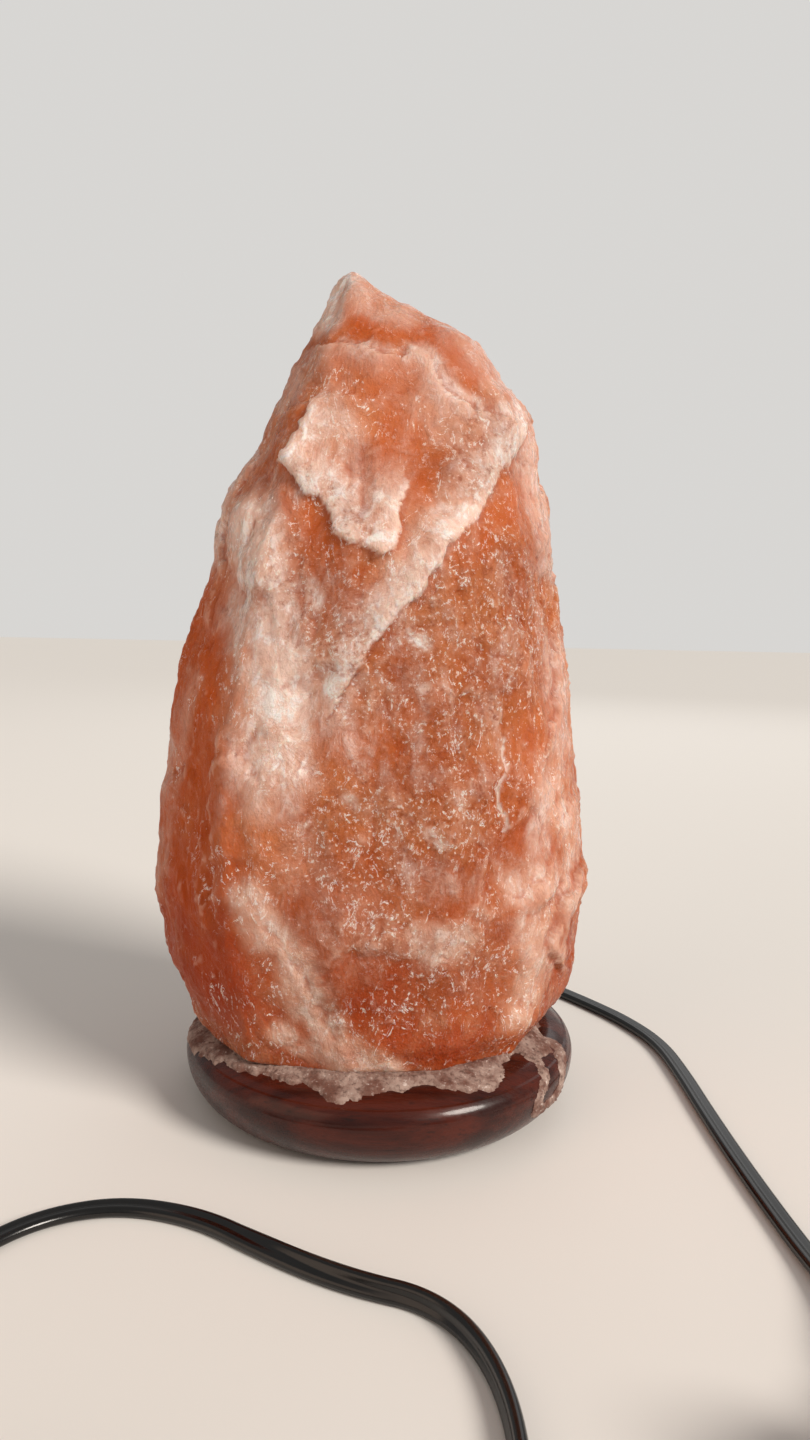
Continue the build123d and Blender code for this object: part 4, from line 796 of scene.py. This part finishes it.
def crustThickness(angles, outwards):
    # how far the crust stands above the base, and under it where the base is bare
    around, out = np.meshgrid(angles, outwards, indexing="ij")
    turn = np.radians(around)
    reach = crust["patternRadius"] + out
    flatPlaces = np.stack([np.cos(turn) * reach, np.sin(turn) * reach, np.zeros_like(out)], 2)
    ragged, lumps = (
        noiseAt(flatPlaces.reshape(-1, 3), look["size"], look["octaves"],
                look["shift"]).reshape(out.shape)
        for look in (crust["ragged"], crust["lumps"]))
    covered = (np.interp(around, *zip(*crust["edge"])) - out) / crust["edgeSlope"]
    for way, halfWidth in crust["drips"]:
        steps = [(math.radians(angle) * crust["baseRadius"], s) for angle, s in way]
        gap = np.abs(signedDistance((turn * crust["baseRadius"]).ravel(), out.ravel(), steps))
        gap = (halfWidth - gap.reshape(out.shape)) / crust["dripSlope"]
        covered = np.maximum(covered, gap)
    level = np.clip(covered + crust["ragged"]["reach"] * ragged, -1, 1)
    rim = np.exp(-((covered - 0.6) / 0.6) ** 2)
    lumps = crust["lumps"]["height"] * lumps * (level > 0)
    top = crust["thick"] * (0.45 * level + 0.25 + 0.25 * rim + lumps)
    bank = crust["bank"]
    top += bank["height"] * smoothStep(*bank["out"], out) * (level > 0.3)
    top = np.where(level < 0, level * 0.6, top)
    lowest = -crust["sunk"] * 0.8
    top = np.maximum(top, lowest)
    top[:, 0], top[:, -1] = lowest, lowest
    return top, turn


def crustMesh():
    section, gone = baseSection()
    outwards = np.arange(0, min(gone[-1], crust["to"]), crust["step"])
    distance, height = (np.interp(outwards, gone, section[:, k]) for k in (0, 1))
    slope = np.stack([np.gradient(distance), np.gradient(height)], 1)
    slope /= np.linalg.norm(slope, axis=1)[:, None]
    angles = np.linspace(-180, 180, crust["anglePoints"], endpoint=False)
    top, turn = crustThickness(angles, outwards)
    build = bmesh.new()
    grids = []
    for lift in (top, np.full_like(top, -crust["sunk"])):
        far = distance[None] - slope[None, :, 1] * lift
        high = height[None] + slope[None, :, 0] * lift
        places = np.stack([np.cos(turn) * far, np.sin(turn) * far, high], 2) * mm
        grids.append([[build.verts.new(place) for place in row] for row in places])
    upper, under = grids
    for i in range(len(angles)):
        for k in range(len(outwards) - 1):
            n = k + 1
            build.faces.new((upper[i - 1][k], upper[i][k], upper[i][n], upper[i - 1][n]))
            build.faces.new((under[i - 1][n], under[i][n], under[i][k], under[i - 1][k]))
        build.faces.new((upper[i][0], upper[i - 1][0], under[i - 1][0], under[i][0]))
        build.faces.new((upper[i - 1][-1], upper[i][-1], under[i][-1], under[i - 1][-1]))
    bmesh.ops.recalc_face_normals(build, faces=build.faces)
    mesh = bpy.data.meshes.new("driedSalt")
    build.to_mesh(mesh)
    build.free()
    return mesh


def crustMaterial():
    # salt that crept out with the damp and dried: chalky, greyish, stained by the lacquer
    material, tree, shader, coords = newMaterial("driedSaltCrust",
                                                 {"Roughness": crust["roughness"]})
    patches, grains = (
        addNode(tree, "TexNoise", {}, {"Vector": coords, "Scale": perMm(size), "Detail": detail,
                                       "Roughness": roughness})
        for size, detail, roughness in ((crust["patchSize"], 6, 0.65),
                                        (crust["grainSize"], 4, 0.7)))
    layTints(tree, shader, toLinear(crust["stained"]), [
        (patches, (0.38, 0.62, 0, 1), crust["chalky"]),
        # painted shade in the grain's hollows
        (grains, (0.5, 0.32, 0, 0.75), crust["hollowShade"]),
        (grains, (0.58, 0.7, 0, 0.6), crust["grain"])])
    bump = addNode(tree, "Bump", {}, {"Strength": 0.7, "Distance": 0.6 * mm, "Height": grains})
    tree.links.new(bump, shader.inputs["Normal"])
    return material


driedSalt = newPiece("driedSaltCrust", crustMesh(), "lamp_body", crustMaterial())
print("crust ready:", len(driedSalt.data.polygons), "faces")

# Every other node keeps its solid. Grain is coarser than the real one, so that it shows.
fittingLook = {"unevenSize": 6, "wear": 0.25, "grainDepth": 0.06}
fittings = [
    # material, colour, roughness, metallic, grain size, the nodes it covers
    ("blackRubberFeet", "#1c1b1a", 0.8, 0, 0.8, "rubber_feet"),             # moulded: matt
    ("clearEpoxyAdhesive", "#c9b184", 0.3, 0, 2.5, "bond_ring"),            # poured: amber, glossy
    ("blackPhenolicHolder", "#151312", 0.35, 0, 0.6, "holder_shell", "holder_cap"),   # pressed
    ("whiteSteatiteCarrier", "#d9d4c8", 0.55, 0, 0.6, "contact_carrier"),   # fired: dull white
    ("pressedBrass", "#c39a45", 0.3, 1, 0.6, "screw_shell", "centre_contact"),        # yellow
    ("nickelPlatedScrews", "#b4b2ac", 0.3, 1, 0.6, "terminal_screws", "dimmer_screws"),
    ("temperedSpringSteel", "#8b8c90", 0.28, 1, 0.6, "spring_clip"),        # rolled: grey sheen
    ("mouldedGripRubber", "#1a1918", 0.7, 0, 0.6, "cord_grip"),             # soft: matt
    ("drawnBrassCap", "#c9ab68", 0.25, 1, 0.6, "bulb_cap"),                 # pale and bright
    ("leadFreeSolder", "#a3a4a6", 0.4, 1, 1.2, "bulb_contact"),             # set drop: dull grey
    ("blackGlassInsulator", "#100f14", 0.1, 0, 0.6, "bulb_insulator"),      # fused: near black
    ("tungstenWire", "#6d6b68", 0.35, 1, 0.6, "bulb_filament"),             # drawn: dark grey
    ("blackAbsCase", "#121110", 0.45, 0, 0.9, "dimmer_lower_case", "dimmer_upper_case"),
    ("blackAbsWheel", "#1b1a19", 0.5, 0, 0.9, "dimmer_wheel"),              # moulded: satin
    ("naturalNylonShaft", "#d6d0c0", 0.5, 0, 0.6, "wheel_shaft"),           # waxy, off-white
    ("glassEpoxyBoard", "#1f5c38", 0.4, 0, 0.6, "dimmer_board"),            # green, satin
    ("phenolicPotentiometer", "#4a3522", 0.55, 0, 0.6, "dimmer_potentiometer"),       # brown
    ("blackEpoxyTriac", "#161618", 0.5, 0, 0.6, "dimmer_triac"),            # moulded: satin
    ("yellowFilmCapacitor", "#c08a1c", 0.4, 0, 0.6, "dimmer_capacitor"),    # dipped: soft gloss
    ("softPvcBoot", "#100f0f", 0.55, 0, 0.6, "dimmer_inlet_boot", "dimmer_outlet_boot"),
    ("mouldedPvcPlug", "#0f0e0e", 0.5, 0, 0.9, "plug_body"),                # satin black
    ("rolledBrassBlades", "#c8a75e", 0.25, 1, 0.6, "plug_narrow_blade", "plug_wide_blade"),
]


def plainMaterial(name, colour, roughness, metallic, grain):
    # one base colour, a little uneven in tint and gloss, over a fine grain
    material, tree, shader, coords = newMaterial(name, {"Metallic": metallic})
    uneven, pores = (
        addNode(tree, "TexNoise", {}, {"Vector": coords, "Scale": perMm(size), "Detail": detail})
        for size, detail in ((fittingLook["unevenSize"], 4), (grain, 2)))
    worn = [c * (1 - fittingLook["wear"]) for c in toLinear(colour)[:3]] + [1]
    layTints(tree, shader, worn, [(uneven, (0.3, 0.7, 0, 1), colour)])
    gloss = addNode(tree, "MapRange", {"interpolation_type": "SMOOTHSTEP"},
                    (uneven, 0.3, 0.7, roughness * 1.15, roughness * 0.85))
    tree.links.new(gloss, shader.inputs["Roughness"])
    bump = addNode(tree, "Bump", {}, {"Strength": 0.5, "Distance": fittingLook["grainDepth"] * mm,
                                      "Height": pores})
    tree.links.new(bump, shader.inputs["Normal"])
    return material


for name, colour, roughness, metallic, grain, *covered in fittings:
    material = plainMaterial(name, colour, roughness, metallic, grain)
    for node in covered:
        paint(node, material)
# soda-lime glass, blown thin: clear, with bright edges
bulbGlass = newMaterial("clearBulbGlass", {
    "Roughness": 0.02, "IOR": 1.5, "Transmission Weight": 1.0,
    "Base Color": toLinear("#ffffff")})[0]
for node in ("bulb_glass", "bulb_stem"):
    paint(node, bulbGlass)
print("fittings painted")

# Stage, light and world. The window is broad enough for soft shadows and small enough to
# glint in the salt.
stageLook = {"floor": "#e6e3df", "floorRoughness": 0.8, "halfSize": 4.0,
             "sky": "#f1efec", "skyLight": 0.4, "skySeen": 0.78, "skyInGloss": 0.1}
window = {"from": (1.05, -0.8, 0.85), "power": 3.3, "angle": 22, "colour": "#fff6ec"}
softLights = [
    # name, place, what it aims at, size, power, colour
    ("fillLight", (-1.1, -0.9, 0.6), (0, 0, 0.12), 1.2, 4.0, "#ffdcc0"),
    ("backLight", (0.4, 1.2, 0.9), (0, 0, 0.15), 0.9, 2.0, "#ffffff"),
]
floorMesh = bpy.data.meshes.new("floor")
half = stageLook["halfSize"]
floorMesh.from_pydata([(-half, -half, 0), (half, -half, 0), (half, half, 0), (-half, half, 0)],
                      [], [(0, 1, 2, 3)])
floor = bpy.data.objects.new("floor", floorMesh)
bpy.context.scene.collection.objects.link(floor)
floorMesh.materials.append(newMaterial("paleFloor", {
    "Roughness": stageLook["floorRoughness"], "Base Color": toLinear(stageLook["floor"])})[0])


def addLight(name, kind, way, power, colour):
    # shines against its way, which points at where the light comes from
    data = bpy.data.lights.new(name, kind)
    data.energy = power
    data.color = toLinear(colour)[:3]
    light = bpy.data.objects.new(name, data)
    bpy.context.scene.collection.objects.link(light)
    light.rotation_euler = Vector(way).to_track_quat("Z", "Y").to_euler()
    return light


windowLight = addLight("windowLight", "SUN", window["from"], window["power"], window["colour"])
windowLight.data.angle = math.radians(window["angle"])
for name, place, aim, size, power, colour in softLights:
    light = addLight(name, "AREA", Vector(place) - Vector(aim), power, colour)
    light.location = place
    light.data.size = size

world = bpy.data.worlds.new("studio")
bpy.context.scene.world = world
world.use_nodes = True
tree = world.node_tree
background = tree.nodes["Background"]
background.inputs["Color"].default_value = toLinear(stageLook["sky"])
cameraRay, glossyRay, glassRay = (
    addNode(tree, "LightPath", {}, {}, name)
    for name in ("Is Camera Ray", "Is Glossy Ray", "Is Transmission Ray"))
seen = addNode(tree, "Math", {"operation": "MAXIMUM"}, (cameraRay, glassRay))
inGloss = addNode(tree, "Math", {"operation": "MULTIPLY"}, (glossyRay, stageLook["skyInGloss"]))
seen = addNode(tree, "Math", {"operation": "MAXIMUM"}, (seen, inGloss))
strength = addNode(tree, "MapRange", {"interpolation_type": "SMOOTHSTEP"},
                   (seen, 0, 1, stageLook["skyLight"], stageLook["skySeen"]))
tree.links.new(strength, background.inputs["Strength"])
bpy.context.scene.view_settings.view_transform = "Standard"
print("stage ready")
